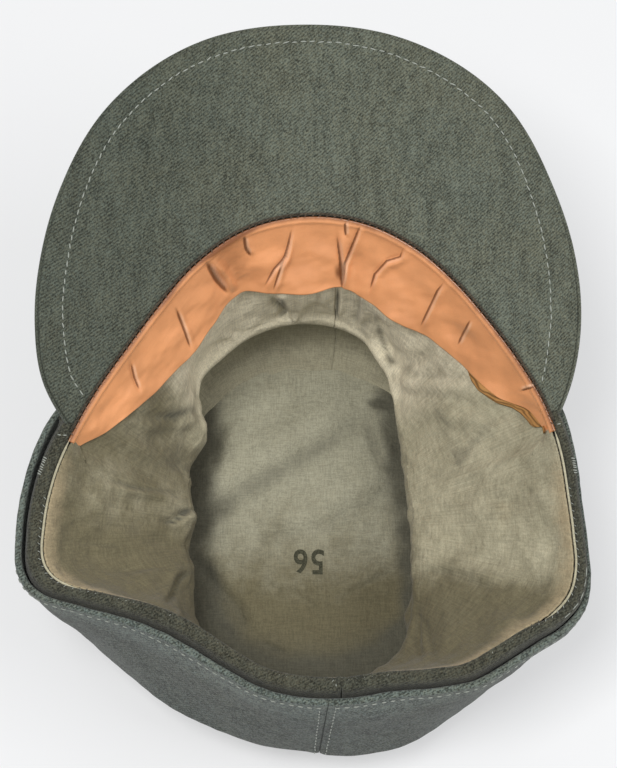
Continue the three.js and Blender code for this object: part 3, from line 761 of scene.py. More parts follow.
def crown_place(start, end):
    """A side panel's outside, from inside the rolled edge, over it and down the wall to the top."""
    def place(across, down):
        deg = mix(start, end, across)
        rim, hem, bare = rim_radius(deg), ring(RIM, "hem", deg) + GAP, bareness(deg)
        top, neck, lip = rim_height(deg), neck_radius(deg), wall_top(deg) + WALL_LIP
        over = smooth(deg % 360, 116, 126) * smooth(-(deg % 360), -238, -228)
        knots = []
        for i, (way, rise) in enumerate(ROLL):
            plain = neck - WALL * (1 - i / (len(ROLL) - 1))
            lap = 1.5 * over * bump(i, 2, 1.4)
            knots.append((mix(rim - lap + hem * way, plain, bare), mix(top + rise + 0.3 * lap, lip, bare)))
        for share in (0.97, 0.84, 0.68, 0.5, 0.32, 0.15, 0.04):
            height = mix(WALL_FOOT, wall_top(deg), share)
            knots.append((wall_radius(deg, height), height))
        foot = top_radius(deg)
        knots += [(foot + 1.3, 0.25 + 0 * deg), (foot - 1.6, 0.2 + 0 * deg)]
        radius, height = along_knots(knots, down)
        points = at(deg, radius, np.maximum(height, FLOOR_GAP))
        soft = 0.5 * lumps(points, 38, 1.0) * smooth(down, 0.55, 0.7) * smooth(1 - down, 0.05, 0.2)
        fuzz = 0.2 * lumps(points, 2.2, 3.0) * smooth(0.5 - down, 0, 0.1) * (1 - bare)
        return at(deg, radius + soft + fuzz * 0.5 + seam_dip(deg, radius, start, end),
                  np.maximum(height + fuzz, FLOOR_GAP))

    return place


def crown_outside(points):
    """Away from the head on the wall below the rolled edge, which alone settles the faces' side."""
    plain = points[..., 2] < rim_height(azimuth_of(points)) - 14
    return outward(points) * plain[..., None]


def crown_top_place(across, down):
    deg, share = 360 * across, 1 - down
    radius = share * (top_radius(deg) - GAP)
    return at(deg, radius, FLOOR_GAP + 0.5 * smooth(share, 0.97, 1) + 0 * deg)


def on_roll(deg, share, above):
    """A place on the rolled edge: a share of its width out from the rim, and above the rim."""
    return at(deg, rim_radius(deg) + share * ring(RIM, "hem", deg), rim_height(deg) + above)


def along_rim(out, above):
    """The line that runs round at a distance out from the rim and above it."""
    return lambda deg: at(deg, rim_radius(deg) + out, rim_height(deg) + above)


def curtain_face(deg, share, lapped):
    """The curtain's outer face, at a share of its depth: radius and height."""
    lift = LAP_RISE * smooth(from_front(deg), -LAP_END - LAP_RUN, -LAP_END) if lapped else 0.0
    sewn = rim_radius(deg) + ring(RIM, "out", deg)
    height = rim_height(deg) - ring(RIM, "tuck", deg) - share * ring(CURTAIN_EDGE, "depth", deg)
    hung = mix(sewn, ring(CURTAIN_EDGE, "radius", deg), share**1.3)
    clear = wall_radius(deg, height) + CURTAIN + 2 * GAP
    return np.maximum(hung, clear) + lift, height


def curtain_lean(deg, share):
    """The azimuth, leant with the back seam."""
    beside = 1 - smooth(np.abs(np.asarray(deg) % 360 - CURTAIN_BACK_SEAM), 0, LEAN_REACH)
    return deg + SEAM_LEAN * beside * share


def curtain_place(start, end, lapped, seam):
    """One half of the curtain, round its whole section."""
    def place(across, walk):
        share, face, cap = round_section(walk)
        deg = curtain_lean(mix(start, end, across), share)
        half = CURTAIN / 2
        radius, height = curtain_face(deg, share, lapped)
        points = at(deg, radius, height)
        soft = 0.55 * lumps(points, 42, 5.0) * smooth(share, 0, 0.25) + 0.1 * lumps(points, 9, 6.0)
        dip = seam_dip(mix(start, end, across), radius, seam) * (face > 0)
        return at(deg, radius - half + half * face + dip * 0.8 + soft,
                  height + half * cap + half * (2 * share - 1) + 0.3 * lumps(points, 30, 2) * share)

    return place


def curtain_painted_light(points):
    """Painted light on the curtain's cloth: paler along its upper edge."""
    return smooth(points[..., 2] - rim_height(azimuth_of(points)), -34, -8)


def curtain_edge_line(inset, lapped):
    """The topstitching below the curtain's upper edge, by azimuth."""
    def line(deg):
        share = inset / ring(CURTAIN_EDGE, "depth", deg)
        radius, height = curtain_face(deg, share, lapped)
        return at(curtain_lean(deg, share), radius + 0.1, height)

    return line


def back_seam_line(inset, side):
    """The topstitching on one side of the curtain's back seam, by the share of the way down."""
    def line(share):
        off = side * np.degrees((inset - 0.9 * share) / BACK_RADIUS)
        radius, height = curtain_face(CURTAIN_BACK_SEAM + off, share, side > 0)
        return at(curtain_lean(CURTAIN_BACK_SEAM, share) + off, radius + 0.3, height)

    return line


def band_radius(deg, share):
    return rim_radius(deg) - GAP - strip(BAND_EDGE, "lean", from_front(deg)) * share**1.25


def band_place(across, down):
    deg = mix(BAND_LEFT, BAND_RIGHT, across)
    depth = 0.6 + strip(BAND_EDGE, "drop", deg) * down
    roll = 0.7 * (1 - smooth(depth, 0.6, 1.6)) - 0.35 * bump(depth, 2.2, 1.0)
    return at(deg, band_radius(deg, down) - 1.0 + roll, rim_height(deg) - depth)


def band_rise(points, across, down):
    """How far the band's creases and soft waves lift it, except along its seam and at its ends."""
    free = smooth(down, 0.1, 0.6)
    ends = smooth(across, 0, 0.05) * smooth(1 - across, 0, 0.05)
    soft = 0.75 * lumps(points, 24, 3.0) + 0.1 * lumps(points, 9, 1.0)
    return ends * (creased(points, LEATHER_CREASES) * smooth(down, 0, 0.12) + soft * free)


def dressed_band(across, down):
    return lifted(band_place, across, down, band_rise, inward)


def leather_lines(share, least, rise, dip):
    """The leather's creases again, narrower, and all of one rise or dip."""
    return [(max(share * width, least), rise, dip, *stops) for width, _, _, *stops in LEATHER_CREASES]


def leather_wear_and_shade(points):
    """Where the leather is brown: in its creases, partly rubbing and partly painted shade, along its seam,
    and in soft patches of painted shade.
    """
    pressed = np.clip(-1.2 * creased(points, leather_lines(0.6, 0.95, 0.0, 1.0)), 0, 1)
    seam = bump(rim_height(azimuth_of(points)) - points[..., 2], 0.5, 1.3)
    return np.clip(np.maximum(pressed, 0.8 * seam) + greyed(points, LEATHER_PATCHES), 0, 1.1)


def leather_painted_highlight(points):
    """Painted highlight on the leather: pale along the ridges of its creases."""
    return np.clip(1.5 * creased(points, leather_lines(0.45, 0.7, 1.0, 0.0)) - 0.5, 0, 1)


def beyond_band(deg):
    """How many degrees past the sweatband's nearer end."""
    away = from_front(deg)
    return np.maximum(away - BAND_RIGHT, BAND_LEFT - away)


def lining_place(start, end):
    """A side panel of the lining, from the rim down to where it turns in over the top."""
    def place(across, down):
        deg = mix(start, end, across) + SEAM_EDGE * (2 * across - 1) * smooth(down, 0.6, 0.66)
        foot = top_radius(deg) - LINING - GAP
        folds = sum(rise * bump(from_front(deg - middle), 0, width) for middle, width, rise in SIDE_FOLDS)
        waist = np.minimum(ring(WAIST, "radius", deg) - folds, foot - 2)
        away, beyond = from_front(deg), beyond_band(deg)
        tucked = 1 - smooth(beyond, -4, 2.5)
        top, rim = rim_height(deg), rim_radius(deg) - GAP
        drop = np.maximum(strip(BAND_EDGE, "drop", away) + 0.6, 8)
        lowest = top - mix(drop, 22, smooth(beyond, -4, 8))
        knots = []
        for share in (0, 1 / 3, 2 / 3, 1):
            height = mix(top - mix(1.2, 3.2, tucked), lowest, share)
            way = (top - height) / (top - WAIST_HEIGHT)
            free = mix(rim, waist, (way + smooth(way, 0, 1)) / 2)
            behind = band_radius(deg, share) + LINING + 2 * GAP
            limit = rim + 1.5 * GAP * bareness(deg)
            knots.append((mix(free, np.minimum(behind, limit), tucked), height))
        rolled = 1 - smooth(np.abs(away), ROLL_STARTS_TO_FADE, ROLL_IS_GONE)
        for plain, roll in LINING_HANG:
            in_by, height = mix(np.array(plain), np.array(roll), rolled[:, None]).T
            knots.append((mix(waist, foot, in_by), height))
        knots += [(foot - 6, 4.6 + 0 * deg), (foot - 13, 2.2 + 0 * deg)]
        radius, height = along_knots(knots, 0.75 * down + 0.25 * down**1.6)
        clear = wall_radius(deg, height) - WALL - GAP
        edge = 0.7 * LINING * np.exp(-down / 0.03) * (1 - tucked)
        within = (radius + clear - np.hypot(radius - clear, 0.6)) / 2
        return at(deg, within - LINING + edge, height)

    return place


def behind_band(points):
    """Where the leather hides the lining."""
    deg = azimuth_of(points)
    return (rim_height(deg) - points[:, 2] < strip(BAND_EDGE, "drop", deg)) & (bareness(deg) > 0.5)


def above_roll(points):
    """0 under the lining's roll in front, where its folds end, and 1 elsewhere."""
    return 1 - smooth(-points[..., 1], 12, 24) * (1 - smooth(points[..., 2], 36, 43))


def lining_rise(points, across, down):
    """How far the lining's folds lift it where it hangs freely, and its puckers along the rim."""
    deg = azimuth_of(points)
    depth = rim_height(deg) - points[..., 2]
    behind = smooth(strip(BAND_EDGE, "drop", deg) - depth, -1.5, 1.5) * bareness(deg)
    hung = smooth(down, 0.02, 0.16) * (1 - smooth(down, 0.68, 0.86)) * (1 - behind) * above_roll(points)
    stitches = np.radians(deg) * HEAD_RADIUS / HEM_PITCH
    pucker = np.sin(2 * math.pi * stitches + lumps(points, 14, 2.0)) * np.exp(-down / 0.07)
    free = 1 - bareness(deg)
    soft = 0.9 * lumps(points, 30, 1.0) + 0.35 * lumps(points, 11, 2.0) + 0.1 * lumps(points, 4.5, 3.0)
    hung = hung * smooth(np.abs(beyond_band(deg) + 1), 3, 9)
    folds = 0.95 * creased(points, SIDE_LINING_CREASES, behind_band(points))
    return hung * (folds + soft) + 0.22 * pucker * free - 0.8 * behind


def dressed_lining(start, end):
    base = lining_place(start, end)
    return lambda across, down: lifted(base, across, down, lining_rise, inward)


def raw_edge_place(across, down):
    """The raw layers of the leather below the band's free edge, laid on the left panel of the lining."""
    start, end = LINING_BACK_SEAM - 360, LINING_FRONT_SEAM
    hung = lining_place(start, end)
    stops, column = np.linspace(0, 0.5, 120), np.linspace(0, 1, 40)
    edges = []
    for deg in mix(RAW_START, RAW_END, column):
        depth = rim_height(deg) - hung(0 * stops + (deg - start) / (end - start), stops)[:, 2]
        edges.append(np.interp(strip(BAND_EDGE, "drop", deg) - 0.4, depth, stops))
    width = RAW_WIDTH * smooth(across, 0, 0.25) * smooth(1 - across, 0, 0.12) + 0.3
    below = np.interp(across, column, edges) + (down - 0.2) * width / LINING_LENGTH
    ruffle = 0.15 * np.sin(down * 9) + 0.12 * np.sin(across * 31 + 3 * down)
    side = (mix(RAW_START, RAW_END, across) - start) / (end - start)
    return lifted(hung, side, np.maximum(below, 0.004), lambda *p: lining_rise(*p) + 1.0 + ruffle, inward)


def raw_layers(points):
    """Brown lines between the layers of the raw edge."""
    deg = azimuth_of(points)
    below = rim_height(deg) - points[..., 2] - strip(BAND_EDGE, "drop", deg)
    return 0.5 + 0.5 * np.sin(5.5 * below + 0.8 * lumps(points, 9))


def crease_shade_lines(creases, widen, share):
    """Creases without their ridges, as lines of painted shade."""
    return [(widen * width, 0, share * dip, *stops) for width, _, dip, *stops in creases]


def side_dirt_and_shade(points):
    """Painted shade in the folds and under the roll in front, and grey patches that are partly grime and
    partly painted shade.
    """
    # Painted shadow under the roll in front.
    under = 0.5 * smooth(-points[..., 2], -36, -28) * smooth(-points[..., 1], -5, 20)
    # Painted shade along the folds, and grey patches that are partly grime and partly painted shade.
    lines = creased(points, crease_shade_lines(SIDE_LINING_CREASES, 0.9, 0.36), behind_band(points))
    folds = 0.6 * greyed(points, SIDE_LINING_PATCHES) - lines
    return np.clip(folds * above_roll(points) + under, 0, MOST_DIRT_AND_SHADE)


def side_stain_and_shade(points):
    """Olive stains and painted shade: at the back, low down, and on both flanks."""
    x, y, z = (points[..., i] for i in range(3))
    left = smooth(-x, -5, 5)
    back = mix(smooth(y - 0.35 * z, 14, 50), 1.2 * smooth(y - 0.35 * z + 0.08 * x, 26, 60), left)
    low = smooth(-z, -52, -22) * smooth(y, -25, 5)
    # Darker on both flanks: partly stains, partly painted shade.
    side = 0.3 * smooth(-x, 20, 60) + 0.74 * smooth(x, 25, 55) * smooth(y, -25, 5)
    return back + 0.6 * low + side


def side_tan(points):
    """Tan along the rim at the back, and in one patch on the left."""
    x, y, z = (points[..., i] for i in range(3))
    rim = smooth(z - rim_height(azimuth_of(points)), -13, -1) * smooth(y, 16, 40)
    return 0.84 * rim + 0.5 * bump(x, -72, 5) * bump(y, 44, 9)


def side_painted_light(points):
    """Painted light: paler high up in front, where the lining rolls over."""
    return smooth(points[..., 2], 34, 44) * smooth(-points[..., 1], -2, 16)


def top_lining_radius(deg):
    return top_radius(deg) - TOP_LINING_INSET


def top_dirt_and_shade(points):
    """Painted shade in the folds, in the hollow below the sides and towards the back, and grey patches that
    are partly grime and partly painted shade.
    """
    # Grey patches, and painted shade in the hollow below the sides.
    grey = 0.62 * greyed(points, TOP_LINING_PATCHES) + 1.05 * crevice_shade(points)
    # Painted shade, darker towards the back.
    edge = 0.7 * smooth(points[..., 1], 52, 96)
    return np.clip(edge + grey - creased(points, crease_shade_lines(TOP_LINING_CREASES, 1, 0.22)), 0, MOST_DIRT_AND_SHADE)


def top_stain_and_shade(points):
    """Olive stains and painted shade towards the back, and painted shade a little in front."""
    return 1.35 * smooth(points[..., 1], 4, 84) + 0.25 * smooth(-points[..., 1], 18, 46)


def top_lining_place(across, down):
    deg, share = 360 * across, 1 - down
    radius = share * top_lining_radius(deg)
    base = at(deg, radius, 0 * deg)
    folds = creased(base, TOP_LINING_CREASES) + 0.5 * lumps(base, 26, 4) + 0.14 * lumps(base, 8, 1)
    return at(deg, radius, WALL + GAP + 0.8 + np.maximum(folds + 0.9, 0) * (1 - smooth(share, 0.78, 1)))


# ---- Materials ---------------------------------------------------------------------------------


class Finish:
    """A procedural material: its node tree, and short ways to add to it."""

    def __init__(self, name):
        self.material = bpy.data.materials.new(name)
        self.material.use_nodes = True
        self.tree = self.material.node_tree
        self.tree.nodes.clear()

    def add(self, kind, sockets=None, **settings):
        node = self.tree.nodes.new(kind)
        for key, value in settings.items():
            setattr(node, key, value)
        for key, value in (sockets or {}).items():
            if isinstance(value, bpy.types.NodeSocket):
                self.tree.links.new(value, node.inputs[key])
            else:
                node.inputs[key].default_value = value
        return node

    def millimetres(self, scale=(1, 1, 1), turn=0.0, flat=False, lean=0.0):
        """Object coordinates, or the cloth's own if flat, in millimetres, leant, turned and scaled."""
        if flat:
            source = self.add("ShaderNodeUVMap", uv_map="cloth").outputs["UV"]
        else:
            source = self.add("ShaderNodeTexCoord").outputs["Object"]
        turned = (0, math.radians(lean), math.radians(turn))
        places = self.add("ShaderNodeMapping", {"Vector": source, "Rotation": turned})
        sizes = tuple(1000.0 * k for k in scale)
        return self.add("ShaderNodeMapping", {"Vector": places.outputs[0], "Scale": sizes}).outputs[0]

    def noise(self, places, scale, detail=2.0, rough=0.5):
        sockets = {"Vector": places, "Scale": scale, "Detail": detail, "Roughness": rough}
        return self.add("ShaderNodeTexNoise", sockets).outputs["Fac"]

    def bands(self, places, pitch, stray=1.5):
        """Threads side by side along X, pitch millimetres apart."""
        sockets = {"Vector": places, "Scale": 0.3142 / pitch, "Distortion": stray, "Detail": 2.0,
                   "Detail Scale": 2.0}
        return self.add("ShaderNodeTexWave", sockets).outputs["Fac"]

    def sum(self, *parts):
        """Values times their weights, added up."""
        total = None
        for value, weight in parts:
            part = self.add("ShaderNodeMath", {0: value, 1: weight}, operation="MULTIPLY").outputs[0]
            if total is None:
                total = part
            else:
                total = self.add("ShaderNodeMath", {0: total, 1: part}, operation="ADD").outputs[0]
        return total

    def step(self, value, low, high):
        """0 below low, 1 above high, and a soft step between them."""
        sockets = {"Value": value, "From Min": low, "From Max": high}
        return self.add("ShaderNodeMapRange", sockets, interpolation_type="SMOOTHSTEP").outputs[0]

    def mark(self, name):
        """One of the piece's point attributes."""
        return self.add("ShaderNodeAttribute", attribute_name=name).outputs["Fac"]

    def blend(self, share, first, second, way="MIX"):
        """Colours mixed by share. Each is a socket, or a colour."""
        node = self.add("ShaderNodeMix", data_type="RGBA", blend_type=way)
        for index, value in ((0, share), (6, first), (7, second)):
            if isinstance(value, bpy.types.NodeSocket):
                self.tree.links.new(value, node.inputs[index])
            elif index:
                node.inputs[index].default_value = (*value[:3], 1.0)
            else:
                node.inputs[index].default_value = value
        return node.outputs[2]

    def times(self, colour, other):
        """One colour multiplied by another."""
        return self.blend(1.0, colour, other, "MULTIPLY")

    def relief(self, height, depth, under=None):
        """A bump of depth millimetres."""
        sockets = {"Height": height, "Distance": depth * MM, "Strength": 1.0}
        if under is not None:
            sockets["Normal"] = under
        return self.add("ShaderNodeBump", sockets).outputs["Normal"]

    def surface(self, colour, normal, rough, **plain):
        """The shader. plain are values that are the same all over."""
        shader = self.add("ShaderNodeBsdfPrincipled", {"Base Color": colour, "Roughness": rough})
        if normal is not None:
            self.tree.links.new(normal, shader.inputs["Normal"])
        for key, value in plain.items():
            shader.inputs[key.replace("_", " ")].default_value = value
        self.add("ShaderNodeOutputMaterial", {"Surface": shader.outputs[0]})
        return self.material


def shade(colour, by):
    return tuple(channel * by for channel in colour[:3])


OLIVE_TINT, TEAL_TINT = (1.05, 1.0, 0.92), (0.95, 1.0, 1.03)
# The tints of the painted shade on the peak's wool, on its darker side and on its lighter side.
PAINTED_SHADE_TINT, PAINTED_LIT_TINT = (0.74, 0.76, 0.76), (1.03, 1.03, 1.02)
DARK_THREADS, LIGHT_THREADS = (0.82, 0.82, 0.82), (1.17, 1.17, 1.17)
# The colour of the painted highlight along the ridges of the leather's creases.
PAINTED_LEATHER_HIGHLIGHT = (0.95, 0.62, 0.42)


def wool(name, base, painted_light=0.0, twill=0.16, worn_and_shaded=False, fleck=1.0, tall=1.0, lean=0.0):
    """Heathered wool: dark, light, olive and bluish fibres, a faint twill and streaks, and painted light
    and painted shade where a piece has marks for them.

    painted_light is how strongly the painted light shows, and twill how strongly the twill shows.
    worn_and_shaded is whether the piece has a mark of that name, which paints shade. fleck is how strongly
    the fibres differ, tall how much longer they are up and down a wall, and lean how far the twill runs up
    the walls, in degrees.
    """
    finish = Finish(name)
    even = finish.millimetres((1, 1, 1 / tall))
    fibres = finish.noise(finish.millimetres((1, 0.6, 1 / tall), 28), 2.1 / tall**0.5, 2, 0.65)
    specks = finish.noise(even, 1.05, 3, 0.75)
    rows = finish.bands(finish.millimetres(turn=52, lean=lean), 0.95, 3.0)
    streaks = finish.noise(finish.millimetres((1, 0.07, 1)), 0.3, 3, 0.6)
    tone = finish.sum((fibres, 0.9), (specks, 0.6), (rows, twill), (streaks, 0.34))
    middle, spread = 0.5 * (0.9 + 0.6 + twill + 0.34), 0.3 / fleck
    share = finish.step(tone, middle - spread, middle + spread)
    colour = finish.blend(share, shade(base, 0.36), shade(base, 1.9))
    tinge = finish.sum((finish.noise(even, 0.03, 2, 0.6), 0.35), (finish.noise(even, 1.3, 2, 0.7), 1.0))
    tint = finish.blend(finish.step(tinge, 0.5, 0.85), OLIVE_TINT, TEAL_TINT)
    colour = finish.times(colour, tint)
    # Painted shade: the colour is darkened where the piece's mark of painted shade is low.
    if worn_and_shaded:
        wear_and_shade = finish.blend(finish.mark("worn_and_shaded"), PAINTED_SHADE_TINT, PAINTED_LIT_TINT)
        colour = finish.times(colour, wear_and_shade)
    # Painted light: the colour is paler where the piece's mark of painted light and random patches are
    # high.
    if painted_light:
        high = finish.noise(even, 0.25, 4, 0.75)
        share = finish.step(finish.sum((high, 0.8), (finish.mark("painted_light"), 1.0)), 0.75, 1.4)
        painted_light_tint = finish.blend(share, (1.0, 1.0, 1.0), (1.0 + 0.9 * painted_light, 1.0 + painted_light, 1.0 + 1.02 * painted_light))
        colour = finish.times(colour, painted_light_tint)
    height = finish.sum((fibres, 0.9), (specks, 0.7), (rows, twill))
    return finish.surface(colour, finish.relief(height, 0.3), 0.94, Sheen_Weight=0.15,
                          Sheen_Roughness=0.5, Specular_IOR_Level=0.15)


def cotton(name, base, pale, stain_and_shade, deep, tan, flat=True):
    """Worn cotton lining: uneven threads both ways, cloudy dye, olive stains that partly paint shade, tan
    rims, painted shade and grime in its creases, hollows and patches, and painted light where it rolls over
    in front.

    flat is whether its threads follow the cloth's own map, and don't run along X and Y.
    """
    finish = Finish(name)
    even = finish.millimetres()
    warp = finish.noise(finish.millimetres((1, 0.09, 1), flat=flat), 2.0, 3, 0.6)
    weft = finish.noise(finish.millimetres((0.09, 1, 1), flat=flat), 2.0, 3, 0.6)
    fleck = finish.noise(even, 1.9, 2, 0.6)
    weave = finish.sum((warp, 0.7), (weft, 0.7), (fleck, 0.6))
    # Painted light: the paler colour where the piece's mark of painted light is high.
    colour = finish.blend(finish.mark("pale"), base, pale)
    cloud = finish.noise(even, 0.04, 4, 0.65)
    blot = finish.noise(even, 0.12, 4, 0.65)
    # Olive stains from random clouds and blots and from the piece's mark, which also paints shade.
    tinge = finish.step(finish.sum((cloud, 0.9), (blot, 0.5), (finish.mark("stain_and_shade"), 0.8)), 0.66, 1.5)
    colour = finish.blend(tinge, colour, stain_and_shade)
    streak = finish.noise(finish.millimetres((1, 0.15, 1), flat=flat), 0.25, 3, 0.6)
    rust = finish.step(finish.sum((finish.mark("tan"), 1.0), (streak, 0.6), (blot, 0.3)), 0.7, 1.5)
    colour = finish.blend(rust, colour, tan)
    # Painted shade and grime: the deep grey where the piece's mark, the blots and the clouds are high.
    dirt_and_shade = finish.sum((finish.mark("dirt_and_shade"), 1.0), (blot, 0.35), (cloud, 0.2))
    colour = finish.blend(finish.step(dirt_and_shade, 0.34, 1.6), colour, deep)
    threads = finish.blend(finish.step(weave, 0.78, 1.22), DARK_THREADS, LIGHT_THREADS)
    colour = finish.times(colour, threads)
    height = finish.sum((warp, 0.7), (weft, 0.7), (fleck, 0.4))
    crumple = finish.noise(finish.millimetres(turn=20), 0.4, 4, 0.6)
    normal = finish.relief(crumple, 0.6, finish.relief(height, 0.12))
    return finish.surface(colour, normal, 0.84, Sheen_Weight=0.1, Specular_IOR_Level=0.25)


def leather(name, base, worn_and_shaded, gloss=1.0):
    """Smooth tan leather: a fine pebble, small creases, browner lines where it folds, which are partly
    rubbing and partly painted shade, and a painted highlight along the ridges of its creases.

    worn_and_shaded is the lines' colour, and gloss is 0 on a raw edge.
    """
    finish = Finish(name)
    pebble = finish.add("ShaderNodeTexVoronoi", {"Vector": finish.millimetres(), "Scale": 1.5},
                        feature="DISTANCE_TO_EDGE").outputs["Distance"]
    pores = finish.noise(finish.millimetres(), 2.6, 3, 0.6)
    cloud = finish.noise(finish.millimetres(), 0.06, 3, 0.55)
    crinkle = finish.noise(finish.millimetres((1, 0.3, 1), 35), 0.35, 4, 0.65)
    tone = finish.step(finish.sum((cloud, 0.9), (pores, 0.2)), 0.35, 0.75)
    colour = finish.blend(tone, shade(base, 0.94), shade(base, 1.16))
    # Browner lines where the crease mark is high: on the sweatband partly rubbing and partly painted shade,
    # on the raw edge the lines between its layers.
    lines = finish.step(finish.sum((finish.mark("crease"), 1.0), (crinkle, 0.35)), 0.4, 1.1)
    colour = finish.blend(lines, colour, worn_and_shaded)
    # Painted highlight: the colour is paler where the piece's mark of painted highlight is high.
    colour = finish.blend(finish.sum((finish.mark("painted_highlight"), 0.5)), colour, PAINTED_LEATHER_HIGHLIGHT)
    height = finish.sum((pebble, 0.25), (pores, 0.2), (crinkle, 0.5))
    spread = {"Value": crinkle, "To Min": 0.8 - 0.56 * gloss, "To Max": 0.95 - 0.5 * gloss}
    rough = finish.add("ShaderNodeMapRange", spread).outputs[0]
    return finish.surface(colour, finish.relief(height, 0.3), rough, Specular_IOR_Level=0.2 + 0.3 * gloss,
                          Coat_Weight=0.4 * gloss, Coat_Roughness=0.2)


def thread(name, base):
    """Twisted sewing thread."""
    finish = Finish(name)
    fuzz = finish.noise(finish.millimetres(), 2.4, 2, 0.6)
    colour = finish.blend(fuzz, shade(base, 0.7), shade(base, 1.25))
    ply = finish.bands(finish.millimetres(turn=30), 0.3, 0.5)
    return finish.surface(colour, finish.relief(ply, 0.06), 0.8, Sheen_Weight=0.2)


def enamel(name, base):
    """Matt paint over a pebbled metal button, chipped a little."""
    finish = Finish(name)
    pebble = finish.add("ShaderNodeTexVoronoi", {"Vector": finish.millimetres(), "Scale": 1.1}).outputs[0]
    wear_and_shade = finish.step(finish.noise(finish.millimetres(), 0.8, 4, 0.7), 0.62, 0.75)
    colour = finish.blend(wear_and_shade, base, shade(base, 1.8))
    return finish.surface(colour, finish.relief(pebble, 0.25), 0.55, Metallic=0.25, Specular_IOR_Level=0.4)


def ink(name, base):
    """Stamping ink that has sunk unevenly into the weave."""
    finish = Finish(name)
    gaps = finish.noise(finish.millimetres(), 1.4, 3, 0.7)
    colour = finish.blend(finish.step(gaps, 0.42, 0.62), base, shade(base, 1.9))
    return finish.surface(colour, None, 0.9, Specular_IOR_Level=0.15)


def ground(name, base):
    """The pale table, lit a little from inside."""
    finish = Finish(name)
    mottle = finish.noise(finish.millimetres(), 0.004, 2, 0.5)
    colour = finish.blend(mottle, shade(base, 0.985), shade(base, 1.0))
    return finish.surface(colour, None, 0.8, Specular_IOR_Level=0.1, Emission_Color=(1.0, 1.0, 1.0, 1.0),
                          Emission_Strength=0.43)


# ---- Settings ----------------------------------------------------------------------------------


def length_setting(name, about, default):
    """A length, given in millimetres and kept in metres."""
    return bpy.props.FloatProperty(name=name, description=about, default=default * MM, min=0.0,
                                   subtype="DISTANCE", unit="LENGTH", precision=4)


def colour_setting(name, about, default):
    return bpy.props.FloatVectorProperty(name=name, description=about, default=default, size=3,
                                         min=0.0, max=1.0, subtype="COLOR")


class CapSizes(bpy.types.PropertyGroup):
    """Sizes of the sewing and of the trim."""

    stitch_length: length_setting("Stitch length", "Length of a topstitch on the peak and curtain", 2.4)
    stitch_pitch: length_setting("Stitch pitch", "From one topstitch to the next", 3.2)
    thread_width: length_setting("Thread width", "Width of the light sewing thread", 0.5)
    hem_pitch: length_setting("Hem stitch pitch", "Between small stitches of the lining's edge", HEM_PITCH)
    curtain_inset: length_setting("Curtain stitch inset", "Topstitching below the curtain's edge", 3.8)
    seam_inset: length_setting("Back seam inset", "Topstitching beside the curtain's back seam", 2.8)
    welt_radius: length_setting("Welt radius", "Half the width of the sweatband's edging", 0.5)
    piping_radius: length_setting("Lining edge radius", "Half the width of the lining's folded edge", 0.38)
    digit_weight: length_setting("Digit weight", "How far the number's strokes are thickened", 0.22)
    digit_height: length_setting("Digit height", "Height of the head size number in the lining", 9.5)


class CapColours(bpy.types.PropertyGroup):
    """Colours of the cloth, leather and thread."""

    wool: colour_setting("Wool", "Underside of the peak", (0.084, 0.091, 0.072))
    wool_nap: colour_setting("Curtain wool", "Napped wool of the curtain", (0.06, 0.068, 0.06))
    hem: colour_setting("Hem", "Wool of the rolled edge and crown", (0.05, 0.05, 0.037))
    lining: colour_setting("Lining", "Cotton lining", (0.42, 0.39, 0.275))
    lining_top: colour_setting("Top lining", "Cotton lining of the crown's top", (0.365, 0.352, 0.262))
    # A painted light: a paler copy of the lining, where it rolls over in front.
    lining_painted_light: colour_setting("Pale lining", "Lining in front, where it rolls over", (0.72, 0.66, 0.5))
    # The olive of the lining's stains, which also stands for painted shade at the back, low down and on the
    # flanks.
    stain_and_shade: colour_setting("Stain", "Olive of the lining's stains", (0.145, 0.128, 0.075))
    tan: colour_setting("Tan", "Tan along the lining's edge", (0.37, 0.3, 0.185))
    raw_edge: colour_setting("Raw leather", "Golden brown raw edge of the sweatband", (0.42, 0.22, 0.075))
    # Painted shade in the lining's creases, hollows and patches, with some grime.
    dirt_and_shade_grey: colour_setting("Crease grey", "Grey in the lining's creases", (0.1, 0.096, 0.07))
    leather: colour_setting("Leather", "Sweatband", (0.8, 0.355, 0.155))
    # The browner colour of the sweatband's creases and patches: partly rubbing, and partly painted shade.
    leather_worn_and_shade: colour_setting("Worn leather", "Creases of the sweatband", (0.24, 0.085, 0.028))
    welt: colour_setting("Welt", "Dark edging between peak and sweatband", (0.05, 0.04, 0.028))
    thread_light: colour_setting("Light thread", "Topstitching", (0.33, 0.35, 0.31))
    thread_brown: colour_setting("Brown thread", "Sweatband's seam", (0.10, 0.055, 0.028))
    thread_dark: colour_setting("Dark thread", "Stitches of the lining's edge", (0.05, 0.05, 0.04))
    ink: colour_setting("Ink", "Head size number", (0.045, 0.045, 0.03))
    paint: colour_setting("Button paint", "Painted buttons", (0.075, 0.082, 0.07))
    floor: colour_setting("Floor", "Plain pale light table", (0.42, 0.425, 0.435))


class CapOperator:
    """What the operators of the pieces share."""

    bl_options = {"REGISTER", "UNDO"}

    @property
    def colours(self):
        return bpy.context.scene.cap_colours

    def size(self, key):
        """One of the sizes, in millimetres."""
        return getattr(bpy.context.scene.cap_sizes, key) / MM

    def finished(self, piece, material, slot, *nodes):
        """Gives a piece its material and its place on the body, and hides the solids that it stands for."""
        piece.data.materials.clear()
        piece.data.materials.append(material)
        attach(piece, "root")
        if nodes:
            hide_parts(*nodes)
        return piece


